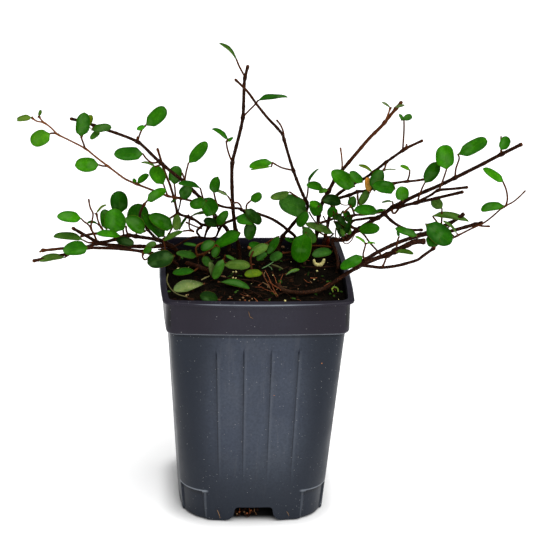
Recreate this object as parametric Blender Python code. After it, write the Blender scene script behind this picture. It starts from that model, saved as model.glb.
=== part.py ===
"""A wire vine in a square nursery pot: wiry stems with small round leaves, standing in soil."""

import math
from collections import namedtuple

import bmesh
import bpy
from mathutils import Matrix, Vector
from mathutils.bvhtree import BVHTree

MM = 0.001
GAP = 0.3

# The pot, in millimetres. The front is -Y, and the origin is the middle of its base.
POT_HEIGHT = 118.15
LIP_HALF = 45.6
LIP_HEIGHT = 1.5
BAND_HALF = 43.9
BAND_FOOT = 101.15
LEDGE_ROUND = 0.9
LIP_ROUND = 0.5
BODY_HALF = 42.4
BASE_HALF = 35.9
BASE_ROUND = 0.7
LIP_CORNER = 5.0
BODY_CORNER = 6.5
BASE_CORNER = 17.0
SIDE_BOW = 1.3
SIDE_MARKS = (-0.5, 0.0, 0.5)
CORNER_STEPS = 4
WALL = 1.2
FLOOR = 1.5
FOOT_HEIGHT = 16.7
FOOT_RECESS = 0.9
FOOT_TURN = math.radians(20)
FOOT_SLOPE = math.radians(4)
FOOT_STEPS = 3
GROOVES = (-19.5, -6.5, 6.5, 19.5)
GROOVE_LEVELS = ((25.0, -0.1), (40.0, 0.35), (82.0, 0.45), (94.0, -0.1))
GROOVE_PROUD = 0.3
GROOVE_SOFT = 2.4
GROOVE_SHARP = 0.9
NOTCH_WIDTH = 18.2
NOTCH_FLARE = 7.4
NOTCH_HEIGHT = 8.3
NOTCH_BEND = 3.7
NOTCH_START = 19.0
NOTCH_END = 60.0
DRAIN_RADIUS = 2.6
DRAIN_PLACE = 27.0

# The soil and what lies on it.
SOIL_TOP = 112.75
SOIL_MOUND = 0.8
SOIL_BUMP = 0.4
SOIL_RINGS = 5
SOIL_SPOKES = 20
SOIL_REACH = 62.0
ROOT_DEPTH = 9.0
ROOT_NECK = 0.6
LAID_LIFT = 0.6
HOLE_SIDES = 10
FALLEN_STALK = 1.2

# Stems, stalks and blades. Each row of a blade's outline is a share of its length, a share of its half
# width, and how far its edge waves up as a share of its width.
STEM_SIDES = 5
TWIG_SIDES = 4
TWIG_THICK = 1.2
STEM_SLACK = 0.36
STALK_THICK = 0.72
SUNK_STALK = 0.9
SUNK_START = 0.25
BLADE_THICK = 0.7
BLADE_FOLD = 0.2
BLADE_ARCH = 0.06
SMALL_BLADE = 3.6
WIDE_BLADE = 7.2
SMALL_OUTLINE = ((0.28, 0.95, 0.03), (0.72, 0.9, -0.03))
OUTLINE = ((0.2, 0.82, 0.03), (0.52, 1.0, -0.05), (0.84, 0.76, 0.04))
WIDE_OUTLINE = ((0.14, 0.7, 0.02), (0.38, 1.0, -0.04), (0.64, 0.93, 0.05), (0.88, 0.66, -0.03))
MERGE = 0.000001

# The plant is drawn on a sheet that stands across the line of sight through the rim's centre. A point has
# how far it lies across and up that sheet, and its depth, which is its world Y. All are in millimetres.
SIGHT_TURN = math.radians(-3.68)
SIGHT_TILT = math.radians(20.85)
SIGHT_ROLL = math.radians(1.37)
SIGHT_DISTANCE = 877.0
SIGHT_TARGET = Vector((5.74, 0.0, 118.85))
SHEET_CENTRE = Vector((0.0, 0.0, 118.25))
ON_SOIL = None

Stem = namedtuple("Stem", "thick points root")
Leaf = namedtuple("Leaf", "base tip width out lean roll stalk")


def stem(base_thick, tip_thick, points, root=None):
    """A stem from its base to its tip; root is where on the sheet it comes out of the soil."""
    return Stem((base_thick, tip_thick), points, root)


def leaf(base, tip, width, out, lean, roll, stalk=()):
    """A blade as it shows on the sheet; out and lean are depths past the stem and past the base."""
    return Leaf(base, tip, width, out, lean, roll, stalk)


LEAFY_STEMS = {
    "vine_tall": (
        [
            stem(1.6, 1.2, ((-7.4, 8.5, 26), (-8.4, 14, 25.5), (-9.3, 19, 25), (-9.8, 23, 24),
                            (-10.3, 28, 23), (-10.7, 36, 21.5), (-10.9, 44, 20), (-10.6, 50.5, 18.5),
                            (-9.2, 56.5, 17), (-7, 65, 15), (-5.6, 72, 13.5), (-5.2, 80, 12),
                            (-5, 87, 11), (-4.6, 91, 10.5), (-3.1, 97, 9.5)), root=(-7.2, 4.2)),
        ],
        [
            leaf((-9.0, 100.2), (-16.9, 107.4), 4.4, -2, -3, 68, ((-4.8, 91.5), (-7.2, 96.3))),
            leaf((2.2, 80.2), (15.3, 81.9), 5.0, -3, -3, 62, ((-5.5, 72.3), (-3, 75), (0, 78))),
            leaf((-13.2, 61.9), (-20.0, 66.3), 4.4, -3, -2, 58,
                 ((-10.7, 50.5), (-12.3, 54.5), (-13.5, 59.8))),
            leaf((-13.0, 60.6), (-10.4, 62.4), 1.6, 0, 2, 0),
            leaf((-7.4, 16.4), (-19.4, 10.0), 6.4, -3, -2, 24, ((-9, 17.6),)),
        ],
    ),
    "vine_upper_left": (
        [
            stem(1.6, 1.1, ((-12.5, 12.5, 37), (-12.8, 17.5, 34), (-15, 20.3, 31.5), (-17.6, 21.4, 30),
                            (-18.6, 23.8, 28.5), (-20, 26.7, 26), (-24.5, 32, 21), (-29, 36.5, 17),
                            (-33.5, 41, 14), (-38, 44.5, 12), (-43.5, 49, 10), (-48.5, 53.5, 7),
                            (-52, 57, 5), (-56, 60.3, 3), (-64, 63.7, -1), (-75, 67.4, -6),
                            (-81.5, 69.8, -9), (-88.4, 71.5, -12)), root=(-12.3, 8.4)),
            stem(1.0, 0.8, ((-56, 60.3, 3), (-56.2, 62.9, 2.5))),
            stem(0.8, 0.8, ((-33.4, 41, 14), (-34, 43.5, 13), (-34.8, 45.5, 12.5))),
        ],
        [
            leaf((-51.9, 68.6), (-43.2, 76.4), 6.4, -2, 4, -14,
                 ((-55.6, 60.6), (-55.2, 63.5), (-53.6, 67))),
            leaf((-52.6, 67.7), (-56.3, 66.3), 2.2, -3, -1, 20, ((-53.6, 67),)),
            leaf((-54.1, 54.6), (-66.9, 54.2), 6.3, -3, -4, 20, ((-46, 50.2), (-49, 50.3), (-51.6, 52))),
            leaf((-31.4, 50.4), (-23.1, 59.8), 5.6, 0, 4, -18, ((-33.2, 41.4), (-32.8, 45.8))),
            leaf((-47.8, 48.5), (-54.1, 50.2), 3.6, 3, 2, 72, ((-44.5, 49.5),)),
            leaf((-75.3, 66.0), (-69.2, 67.2), 3.8, -3, -1, 30),
            leaf((-75.5, 66.2), (-78.5, 61.8), 2.6, -3, -2, -20),
            leaf((-19.9, 25.6), (-24.3, 33.0), 7.6, -4, 3, 14, ((-19, 24.6),)),
            leaf((-22.6, 32.4), (-31.2, 29.6), 5.4, -4, 4, -16),
        ],
    ),
    "vine_young": (
        [
            stem(1.3, 0.7, ((20.3, 11.5, 35), (19.4, 15, 34.5), (16.3, 17.7, 33), (12.5, 20.8, 31.5),
                            (8, 23.5, 30), (3, 25.4, 28), (0, 26, 26.5), (-3.5, 26, 24.5),
                            (-7, 28.2, 21), (-10, 28.6, 19.5), (-14, 29, 18), (-20, 30.6, 16),
                            (-29, 31.8, 14), (-35, 33.2, 12.5), (-41, 34.2, 11), (-48, 36.8, 9),
                            (-57, 40.3, 6), (-62, 42.5, 4.5), (-65.5, 45, 3.5), (-71, 49.2, 2),
                            (-76, 53, 0), (-81, 57, -1.5), (-90, 61.7, -4), (-94.5, 64, -5),
                            (-97.5, 67, -6), (-101, 69.5, -7), (-104.5, 70.3, -8), (-107, 72, -9)),
                 root=(20.6, 7.6)),
            stem(0.7, 0.7, ((-101, 69.5, -7), (-102.6, 71.3, -7.5), (-103.4, 72.9, -8))),
            stem(1.2, 1.0, ((-3.5, 26, 24.5), (-7, 24.6, 27.5), (-10, 23.1, 28.2), (-13, 21.9, 27.5),
                            (-17, 20.6, 26.5), (-22, 20.3, 26), (-25.5, 20.8, 25), (-28, 22.5, 24),
                            (-31, 24, 23), (-36.7, 26, 21), (-37.4, 28, 20), (-38.2, 31.5, 19),
                            (-40.5, 39.5, 18), (-42.5, 44.5, 17), (-44.2, 49.5, 16), (-46.6, 57.2, 14))),
            stem(1.0, 0.8, ((-36.7, 26, 21), (-39, 24.7, 21.5), (-41, 23.4, 22), (-44, 21.5, 22.5))),
            stem(0.8, 0.8, ((-31, 24, 23), (-31.4, 21, 22), (-31, 18.6, 21), (-29.4, 17.4, 20.5))),
            stem(0.8, 0.8, ((-25.5, 20.8, 25), (-29.5, 20.2, 22), (-33, 21.6, 19.5))),
            stem(0.8, 0.8, ((-6.4, 27.8, 21.5), (-6.6, 29.6, 19), (-8.2, 31.2, 17.5), (-9.9, 31, 16.5))),
            stem(0.9, 0.8, ((-22.2, 20.3, 26), (-23.2, 17.5, 27.5), (-23.9, 14.6, 29))),
            stem(0.9, 0.8, ((-15.3, 21.1, 27), (-16.6, 18.3, 29), (-18, 15.9, 31))),
        ],
        [
            leaf((-107.2, 71.9), (-113.9, 70.4), 3.6, 0, -2, 44),
            leaf((-103.4, 72.8), (-102.5, 75.6), 1.4, 0, 1, 0),
            leaf((-98.3, 64.2), (-106.7, 59.8), 7.0, -1, -3, 16, ((-94.3, 63.8), (-96.2, 64.5))),
            leaf((-83.2, 63.2), (-81.8, 74.1), 6.4, -3, 2, -16, ((-81.1, 57.2), (-82.4, 60.5))),
            leaf((-80.2, 68.4), (-78.3, 73.0), 3.4, -1, 2, 10, ((-83.0, 62.6),)),
            leaf((-75.1, 49.3), (-85.6, 49.1), 6.6, -2, -4, 18, ((-70.4, 48.4), (-73, 48.8))),
            leaf((-43.8, 40.2), (-48.4, 48.3), 6.6, 1, 3, -12, ((-41.6, 34.4), (-42.7, 37.2))),
            leaf((-38.4, 40.2), (-37.2, 48.5), 6.0, 5, 2, 8, ((-37.9, 33.8), (-38.1, 37))),
            leaf((-35.3, 33.6), (-30.6, 38.6), 5.6, -2, -2, 10),
            leaf((-26.4, 38.2), (-36.0, 40.2), 4.8, -6, -3, 60, ((-24.2, 31.2), (-25.2, 35))),
            leaf((-29.8, 24.8), (-23.6, 26.1), 3.4, -5, -3, 72),
            leaf((-19.4, 36.3), (-17.7, 43.3), 4.8, -3, -2, 14, ((-17.8, 30), (-18.8, 33))),
            leaf((-12.9, 34.3), (-18.4, 36.6), 3.2, -3, -1, 74, ((-10.8, 28.9), (-11.4, 32))),
            leaf((-1.7, 32.2), (3.1, 35.3), 4.2, 0, 2, -12, ((-3.6, 26.4), (-3.8, 30))),
            leaf((0.8, 23.0), (-8.0, 23.0), 5.4, -6, -3, 18, ((0.6, 25.6),)),
            leaf((-4.6, 27.6), (2.8, 21.6), 5.2, -4, 1, 26, ((-4.2, 26.4),)),
            leaf((-1.2, 21.5), (-2.4, 13.7), 5.8, -3, -4, 14, ((0.4, 25.4),)),
            leaf((-32.3, 24.4), (-38.9, 19.1), 5.2, -1, -2, -34),
            leaf((-26.8, 17.2), (-36.0, 16.7), 3.4, -4, -2, 76, ((-29.4, 17.4),)),
            leaf((-55.9, 40.6), (-50.8, 44.4), 3.2, -1, -1, 24),
            leaf((-56.7, 41.0), (-58.3, 42.5), 1.5, -1, 1, 0),
            leaf((-18.0, 20.6), (-24.2, 22.4), 4.6, -4, -2, 30),
            leaf((-17.6, 20.8), (-13.2, 26.8), 4.2, -6, -3, 8),
        ],
    ),
    "vine_arching": (
        [
            stem(1.5, 1.0, ((12.3, 12, 38), (13.5, 15, 37.8), (16.3, 18.3, 37.2), (20, 22.8, 35.5),
                            (22.5, 25.3, 34), (25, 28, 32), (25.4, 30, 31), (24.4, 32.4, 30),
                            (21.5, 39, 26), (18.5, 47, 22), (16, 55, 18), (14.3, 61, 15.5),
                            (13.3, 63.9, 14.5), (10.5, 67.4, 13), (7, 71, 11.5), (4, 74.6, 10),
                            (1, 78.4, 8.5), (-1.5, 82, 7), (-4.2, 85.4, 6), (-9.4, 90.4, 4.5)),
                 root=(11.6, 8.6)),
            stem(0.9, 0.8, ((14.2, 61.5, 15.3), (13.8, 65, 15), (12.5, 68.4, 15), (10.5, 70.9, 15))),
        ],
        [
            leaf((8.2, 50.3), (-2.0, 48.4), 4.8, -4, -3, 44, ((18.5, 46.6), (13, 48))),
            leaf((-0.9, 47.2), (6.6, 47.8), 1.3, -8, 1, 20, ((-1.0, 48.6),)),
            leaf((26.0, 40.8), (30.4, 47.4), 3.6, -2, 2, 72, ((24.6, 31.8), (25.5, 36))),
            leaf((24.4, 26.5), (12.4, 32.2), 9.2, -5, -4, 12),
            leaf((16.6, 36.2), (8.0, 33.8), 4.2, -8, -3, -34, ((24.4, 31.4), (20, 34.2))),
            leaf((25.2, 26.8), (21.2, 20.0), 5.0, -5, -3, 20),
            leaf((19.2, 12.4), (15.0, 14.0), 2.4, -6, -2, 20, ((13.6, 15),)),
        ],
    ),
    "vine_upper_right": (
        [
            stem(1.5, 1.0, ((29, 12, 35.5), (30, 17, 35), (30.5, 22, 34), (31, 27, 32), (33, 32, 30),
                            (36, 37.5, 27), (39, 43, 24), (43.5, 48.5, 20), (49, 55, 16), (55, 62, 12),
                            (61, 68, 9), (65.5, 73.5, 7), (70.6, 79.6, 4)), root=(28.6, 8.2)),
            stem(0.8, 0.8, ((62.5, 70, 8.5), (64, 73.4, 7), (65.3, 77, 6))),
            stem(0.8, 0.8, ((38.6, 42.4, 24.3), (41, 45, 26), (42, 48.5, 26.5), (41.8, 53, 27),
                            (41.2, 57.6, 27.5))),
        ],
        [
            leaf((64.9, 76.8), (61.2, 79.3), 1.2, 0, 1, 30),
            leaf((67.6, 76.8), (71.4, 77.7), 1.4, -2, -1, 30),
            leaf((32.2, 38.2), (25.3, 39.7), 3.9, -3, -3, 10, ((33.6, 33.4), (34.0, 36))),
            leaf((35.0, 37.4), (31.0, 36.2), 2.2, -2, 1, 20),
            leaf((31.3, 25.4), (27.6, 31.3), 6.0, -6, -2, 12),
            leaf((30.3, 29.6), (26.6, 31.4), 2.8, -8, -2, 10),
            leaf((32.8, 32.4), (41.0, 30.8), 5.6, -6, -4, 26),
            leaf((37.4, 16.4), (25.0, 20.7), 4.0, -6, -1, 26, ((30.4, 17.6), (35.5, 14.8))),
        ],
    ),
    "vine_right": (
        [
            stem(1.4, 1.1, ((33.2, 12, 33), (34.6, 18, 35), (35.8, 24, 35.5), (37.2, 29, 35),
                            (38.5, 33.4, 34), (41, 36, 33), (44, 38, 31.5), (48, 40.5, 30),
                            (53, 43, 28.5), (57, 45.8, 27), (63, 50.5, 25), (70.5, 55.8, 22),
                            (73, 57.4, 21.5), (80.8, 61.1, 20)), root=(32.4, 7.0)),
            stem(1.3, 1.0, ((38.4, 33, 34.2), (41.3, 33.6, 31.5), (46, 35, 29), (49.5, 36.4, 28),
                            (53, 36.8, 27), (58, 38.3, 25), (65, 40, 22), (70, 41, 20), (77, 41.7, 18),
                            (81.6, 42.4, 16))),
            stem(0.9, 0.8, ((63, 50.4, 25), (62.6, 48, 24), (61.5, 46.4, 23.5))),
            stem(0.8, 0.8, ((72.6, 57.2, 21.6), (73, 59.3, 21))),
        ],
        [
            leaf((71.5, 70.8), (69.4, 73.9), 1.6, 0, -1, 20, ((71.0, 56.2), (71.4, 61), (71.7, 66.5))),
            leaf((71.6, 70.9), (74.7, 72.6), 2.9, 0, 2, 0),
            leaf((47.6, 39.2), (37.4, 45.6), 7.4, -10, -4, 16),
            leaf((51.4, 41.2), (45.8, 45.9), 4.2, -12, -3, 8),
            leaf((56.4, 46.0), (50.0, 49.1), 3.4, -1, 2, 64),
            leaf((57.6, 37.2), (60.6, 46.4), 6.4, -4, -1, 14),
            leaf((66.9, 37.8), (57.2, 39.4), 6.0, -7, -4, 16),
            leaf((61.7, 46.4), (67.9, 46.8), 1.8, 0, 1, 72),
            leaf((74.3, 46.9), (70.0, 48.5), 2.4, -2, -2, 45, ((73.2, 41.4), (74.2, 44.2))),
            leaf((54.8, 36.6), (54.2, 43.0), 3.4, -4, 1, 20),
            leaf((46.4, 29.0), (47.6, 34.0), 4.0, -3, -2, 10, ((45.4, 34.6),)),
            leaf((50.6, 30.2), (54.4, 36.6), 3.8, -6, 2, 14, ((49.6, 36.2), (49.4, 33))),
            leaf((38.4, 28.9), (36.2, 24.4), 4.6, -7, -2, 10, ((37.6, 30),)),
        ],
    ),
    "vine_thick": (
        [
            stem(1.7, 1.3, ((40.0, 0.6, 6), (39.8, 4, 12), (38.7, 8.3, 19), (37.2, 12, 25),
                            (37.6, 13.6, 27.5), (40, 13.2, 28.5), (43, 13.8, 28.3), (46.5, 16.2, 27.8),
                            (49.6, 18.1, 27), (53, 20.5, 26), (57, 22.8, 25), (60, 24.4, 24),
                            (63, 26.6, 22.5), (66.3, 29, 21), (70, 31, 19), (79, 35.3, 15),
                            (89, 39.6, 11), (96, 43, 8), (104, 47, 5), (110, 50, 2), (116, 53.2, -1),
                            (119, 54.7, -2), (128.3, 59.3, -6)), root=(39.5, -2.2)),
            stem(1.3, 1.2, ((66.3, 29, 21), (70.5, 29.3, 18), (73, 30.1, 16.5), (77, 31, 14),
                            (85, 32.8, 10), (90, 34, 8), (100.2, 36.4, 4))),
            stem(1.1, 1.1, ((77.6, 31.2, 13.8), (81, 33, 11.5), (84.5, 34.8, 9.5), (87.6, 36.9, 7.5),
                            (89.7, 37.4, 6.5), (95, 37.8, 4), (102.4, 38.6, 1))),
            stem(1.0, 0.9, ((69.4, 29, 18.8), (67.6, 26.3, 17.5), (66.4, 26.2, 17), (65.8, 28, 17))),
            stem(1.2, 1.0, ((59, 24, 24.3), (55, 23.8, 25.5), (51, 23.2, 26.5), (47.6, 22.6, 27.5),
                            (45.1, 20.4, 28))),
            stem(1.0, 0.9, ((49.8, 18.3, 27), (46.6, 19.8, 27.6), (45.2, 22, 28), (47.6, 25, 28),
                            (52, 25.3, 27), (58, 26.2, 25.5), (62.2, 27.2, 23))),
            stem(0.9, 0.8, ((48, 25, 28), (47.2, 27.6, 27.5), (46.6, 29.2, 27))),
            stem(0.9, 0.9, ((49.8, 18.2, 27), (52.5, 15.8, 24), (55, 12.4, 20), (58, 9, 15),
                            (60.4, 6.5, 10))),
            stem(0.9, 0.8, ((42.8, 14, 28), (44.2, 12.9, 26), (46.4, 14.6, 26), (49, 17.6, 27))),
            stem(0.9, 0.8, ((62.6, 25.6, 22.8), (66.5, 22.6, 21), (70, 20.4, 19), (74, 19.1, 17),
                            (80.8, 19, 15))),
        ],
        [
            leaf((92.0, 47.4), (91.2, 58.4), 8.4, -1, 3, -14, ((88.4, 37.2), (90.2, 41.5), (91.4, 45))),
            leaf((98.0, 54.6), (110.6, 61.3), 6.2, -3, 4, -16, ((96, 43.4), (96.6, 47.5), (98.2, 52.5))),
            leaf((81.8, 40.8), (87.9, 49.9), 6.2, -3, 2, 16, ((78, 31.6), (79.2, 35), (80.6, 38.6))),
            leaf((118.2, 56.6), (121.2, 62.6), 4.6, -1, 1, -10, ((118.4, 54.6),)),
            leaf((118.6, 58.0), (118.2, 63.2), 1.0, 1, 1, 0, ((118.4, 56),)),
            leaf((71.0, 32.3), (70.3, 38.8), 6.2, -5, -2, 10, ((71.5, 31.2),)),
            leaf((50.2, 18.2), (59.6, 18.8), 5.4, -5, -3, 18),
            leaf((58.6, 26.6), (48.3, 27.6), 5.0, -5, -4, 20, ((60, 26.6),)),
            leaf((66.0, 31.6), (61.4, 31.0), 2.8, -3, -1, 70, ((66.4, 29.6),)),
            leaf((62.4, 27.8), (56.4, 25.8), 2.2, -6, -2, 30),
            leaf((43.6, 20.4), (38.6, 25.2), 4.4, -4, -2, 20),
            leaf((44.4, 18.8), (39.2, 18.6), 4.0, -3, 2, 30),
            leaf((45.0, 21.6), (44.2, 27.2), 4.2, -4, 2, 10),
            leaf((43.8, 16.6), (45.6, 21.8), 4.0, -5, -3, 10, ((44.2, 14.8),)),
            leaf((42.2, 14.6), (39.4, 21.6), 3.8, -4, -2, 14),
        ],
    ),
    "vine_trailing": (
        [
            stem(1.6, 1.4, ((14, -10.8, ON_SOIL), (19, -11.9, ON_SOIL), (24, -12, ON_SOIL),
                            (29, -11.2, ON_SOIL), (33.5, -9.9, -20.5), (37, -7.9, -20),
                            (40.5, -5.4, -19), (44, -3, -17.5), (47.5, -0.8, -15.5), (50.5, 1.4, -13.5),
                            (53, 3.6, -11.5), (56, 5.6, -9.5), (59, 7.4, -8), (66, 10.8, -4),
                            (72, 13.2, -1), (78, 15.2, 2), (83, 17, 5), (88, 19, 8), (93, 21, 10),
                            (97, 23.3, 11), (100.6, 26, 12)), root=(10.4, -9.2)),
            stem(1.5, 1.6, ((49, 0.3, -14.5), (52, 1.8, -13.8), (56, 3.4, -13), (60, 5, -12),
                            (64, 6.2, -12.5), (68, 8.3, -13), (73, 10.7, -13.5), (77, 12.4, -13.5),
                            (82, 12.6, -13.5))),
            stem(1.5, 1.3, ((79.6, 15.8, 2.8), (84, 16, 1), (88, 16.3, -1), (92, 17, -2),
                            (97, 18.3, -3), (103, 20, -4), (109.6, 21.6, -5.5))),
            stem(0.9, 0.8, ((106, 20.7, -4.6), (109, 20, -5.5), (113, 19.8, -6))),
            stem(0.9, 0.7, ((86.5, 16.2, -0.4), (90, 13.6, -4), (94, 13.8, -6.5), (98, 15.7, -8),
                            (104, 18.7, -8.5), (107.3, 20.2, -8.5), (110, 21.5, -9), (114, 24.5, -10),
                            (118, 28, -11), (120.5, 29.7, -11.5), (124, 31.5, -12), (127, 34, -12.5),
                            (130, 37, -13))),
            stem(1.0, 0.9, ((50.2, 1.2, -13.8), (55, 0.7, -14.5), (60, 0.1, -15), (65, 0.4, -16.5),
                            (70, 1.3, -17.5), (75, 2.7, -18), (78.5, 3.9, -18.5), (81, 5.8, -18.5),
                            (86.4, 9.6, -17.5))),
            stem(0.9, 0.8, ((63.6, 6, -12.5), (62.2, 2.2, -15), (61.2, 0.3, -15.6))),
            stem(0.9, 0.8, ((94, 20.6, 10), (92.6, 18.4, 6), (95.6, 15, -3), (96.2, 14.8, -7))),
        ],
        [
            leaf((51.6, 5.2), (41.8, -0.1), 5.0, -5, -3, 20),
            leaf((53.2, 11.6), (48.6, 14.9), 2.6, -1, 1, 64, ((52.6, 3.8), (52.1, 6.2), (53, 10))),
            leaf((54.0, 11.6), (57.9, 11.7), 2.0, -1, 1, 62),
            leaf((70.4, 15.7), (77.8, 16.2), 3.6, -6, 2, 42,
                 ((67.6, 8.2), (68.2, 10.2), (68.7, 13.2), (69.3, 15.1))),
            leaf((68.4, 15.6), (66.9, 18.9), 1.2, 0, 1, 20, ((68.7, 13.4),)),
            leaf((68.0, 7.4), (76.0, 7.0), 3.6, -3, 1, 54),
            leaf((89.8, 28.4), (85.8, 33.4), 5.2, 3, 2, -22, ((89.4, 20), (89.8, 24), (89.8, 26.6))),
            leaf((86.0, 24.6), (102.0, 22.1), 5.6, 0, 3, 58, ((88.6, 19.8), (87.4, 22))),
            leaf((82.6, 20.6), (94.0, 12.2), 9.0, -10, -4, 14),
            leaf((86.4, 9.7), (84.6, 15.6), 6.0, 0, 3, 8),
            leaf((97.0, 16.4), (90.6, 22.0), 3.0, -4, -2, 68),
            leaf((119.4, 29.4), (109.0, 27.8), 4.6, -1, 2, 30),
            leaf((118.8, 41.4), (109.8, 47.3), 3.9, -2, -3, 24,
                 ((120.5, 29.8), (121.3, 33), (120.7, 37.4))),
        ],
    ),
    "vine_left": (
        [
            stem(1.8, 1.2, ((-37.4, 8.2, 22.5), (-40, 10.3, 20.5), (-43, 10.9, 19), (-46, 10.3, 18),
                            (-50, 10.1, 17), (-56, 10.2, 15.5), (-62, 10.3, 14), (-68, 10.7, 12.5),
                            (-73, 11.3, 11), (-75.6, 12.1, 10), (-78, 13.7, 9), (-84, 17.1, 6),
                            (-87.4, 19.1, 4)), root=(-36.4, 4.4)),
            stem(1.4, 1.2, ((-40, 10.3, 20.5), (-43.5, 12.5, 20.5), (-46, 13.3, 20.5), (-50, 14, 20),
                            (-57, 15, 18.5), (-60.4, 15.5, 17.5), (-64, 14.4, 16), (-67, 13.6, 14.5),
                            (-70, 12.7, 13), (-74.4, 11.9, 10.5), (-79, 10.5, 8), (-84, 8.6, 5),
                            (-89.5, 6.7, 2), (-96, 5.2, -1), (-106.4, 3.2, -5))),
            stem(1.2, 1.0, ((-64, 14.4, 16), (-68, 15.6, 15), (-73, 16.2, 14), (-77, 16.3, 13),
                            (-83.6, 15, 11))),
            stem(1.2, 1.0, ((-46.8, 13.5, 20.4), (-48.6, 15.3, 18.5), (-51.5, 18.6, 15.5),
                            (-54, 22, 12.5), (-55, 25.2, 10), (-54.2, 28, 8.5), (-52.6, 30.8, 7.5))),
            stem(1.0, 0.8, ((-60.4, 15.5, 17.5), (-61.4, 17.6, 16), (-61.6, 20, 15))),
            stem(0.9, 0.8, ((-71.6, 16, 14.2), (-72.4, 17.6, 13), (-74, 20, 12), (-75.2, 23, 11.5),
                            (-75.8, 26, 11))),
            stem(0.9, 0.8, ((-75.4, 12.2, 10), (-77, 16, 9), (-78.5, 19.2, 8), (-77.9, 22.5, 8),
                            (-77.5, 26, 8), (-78.8, 28.8, 8), (-79.6, 33, 8))),
        ],
        [
            leaf((-75.8, 26.2), (-71.2, 30.1), 2.4, 0, 2, 66),
            leaf((-83.6, 23.6), (-94.3, 24.4), 5.2, -2, -4, 16,
                 ((-78.6, 19.2), (-80.2, 21), (-82, 22.3))),
            leaf((-75.4, 21.0), (-80.0, 21.6), 2.6, -1, -1, 66, ((-73.6, 19.4),)),
            leaf((-71.0, 18.4), (-72.0, 27.6), 5.2, 0, 3, 12, ((-71.6, 16.4),)),
            leaf((-66.8, 17.2), (-66.8, 28.0), 9.8, -5, -2, 12, ((-66.4, 15.4),)),
            leaf((-64.6, 26.4), (-65.0, 36.4), 8.0, 0, 3, -10, ((-62.8, 15.2), (-63.4, 21))),
            leaf((-56.4, 17.6), (-55.6, 30.2), 9.8, 0, 4, -8, ((-57.0, 15.2),)),
            leaf((-53.2, 17.4), (-61.6, 23.4), 7.0, -8, -4, 20, ((-51.4, 18.4),)),
            leaf((-39.8, 19.6), (-50.4, 24.4), 6.8, -4, -5, 20, ((-43.6, 12.6), (-41, 16.4))),
            leaf((-43.6, 15.2), (-52.0, 21.6), 5.2, -5, -4, 30),
            leaf((-51.2, 32.2), (-42.8, 37.2), 4.6, 0, -4, 22, ((-52.6, 30.8),)),
            leaf((-64.4, 15.2), (-75.2, 16.2), 3.8, -8, -5, 30),
            leaf((-82.8, 13.3), (-95.8, 14.8), 5.0, -4, -4, 50, ((-76.2, 12.2), (-79.5, 12))),
            leaf((-91.4, 4.9), (-102.8, 3.1), 4.8, -4, -4, 50, ((-87, 7.4),)),
            leaf((-66.4, 13.2), (-58.2, 11.6), 4.2, -5, -2, 20),
            leaf((-38.8, 16.6), (-43.6, 13.4), 2.4, 2, 1, 30, ((-41, 11.4),)),
        ],
    ),
    "vine_low_left": (
        [
            stem(1.5, 1.2, ((-38.6, 2.4, 6), (-42, 4.7, 3), (-45, 5.5, 2), (-48.5, 6.5, 2),
                            (-53, 7.6, 2.5), (-60, 8.6, 3), (-67, 9.2, 3), (-79, 9.5, 2), (-92, 9.2, 0),
                            (-98, 8.6, -1), (-102.4, 8.2, -2)), root=(-36.8, -0.6)),
            stem(0.8, 0.8, ((-49.4, 6.8, 2), (-51, 4.6, -1), (-52.6, 3.8, -2), (-53.7, 5.2, -2.5),
                            (-53.3, 7.2, -3))),
        ],
        [
            leaf((-38.9, 5.6), (-50.8, 2.4), 7.8, -9, -4, 16),
            leaf((-80.4, 9.7), (-91.2, 8.1), 6.6, -3, -5, 16),
            leaf((-53.2, 7.4), (-49.4, 8.8), 3.0, 0, -1, 20),
            leaf((-52.2, 9.6), (-47.4, 11.8), 2.8, -2, 2, 20, ((-53.2, 7.8),)),
            leaf((-102.2, 8.2), (-103.2, 7.4), 0.9, 0, 0, 0),
        ],
    ),
    "sprig_left": (
        [
            stem(1.2, 0.9, ((-27.6, 6, 15), (-28, 9.6, 14), (-25.6, 11.6, 14), (-20.6, 13, 14.5)),
                 root=(-27.2, 2.4)),
            stem(0.9, 0.8, ((-27.6, 6, 15), (-24.4, 6.6, 13), (-21, 8.8, 12), (-18.4, 10.8, 12))),
        ],
        [
            leaf((-28.2, 5.4), (-37.0, 7.0), 3.5, -3, -3, 25),
            leaf((-24.2, 5.3), (-22.2, 0.9), 3.8, -2, -3, 14),
            leaf((-19.4, 12.4), (-25.2, 8.6), 4.6, -3, -3, 20),
            leaf((-17.2, 9.8), (-19.6, 5.2), 3.8, -2, -2, 20),
            leaf((-27.6, 10.4), (-33.8, 11.4), 1.8, 0, 2, 40),
        ],
    ),
    "sprig_front_left": (
        [
            stem(2.1, 1.8, ((-20.6, -2.2, -1), (-24, -0.8, 2), (-28.2, 0.8, 4), (-32.7, 2.2, 7)),
                 root=(-20.2, -4.6)),
            stem(1.0, 0.8, ((-21, -2, -0.8), (-18.6, -0.6, -2), (-16.6, 1.6, -1), (-14.6, 3.8, 0))),
        ],
        [
            leaf((-29.2, -1.6), (-38.8, -2.6), 3.6, -3, -2, 25, ((-26.6, 0.2),)),
            leaf((-15.2, 3.8), (-19.4, -5.0), 3.6, -4, -4, 10),
            leaf((-18.6, 1.4), (-23.2, -0.4), 1.8, -4, -2, 30),
            leaf((-14.4, 1.2), (-2.6, 1.0), 4.4, -2, -1, 16),
        ],
    ),
    "sprig_middle": (
        [
            stem(1.1, 0.8, ((-1.2, -3.4, -3), (-1.6, 1, 1.5), (-1.8, 5, 7), (0.8, 9.4, 14),
                            (5.6, 11.4, 19)), root=(-1.0, -6.2)),
        ],
        [
            leaf((3.6, -2.6), (-4.4, -3.4), 4.0, -4, -2, 30, ((-1.3, -1.6),)),
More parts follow.
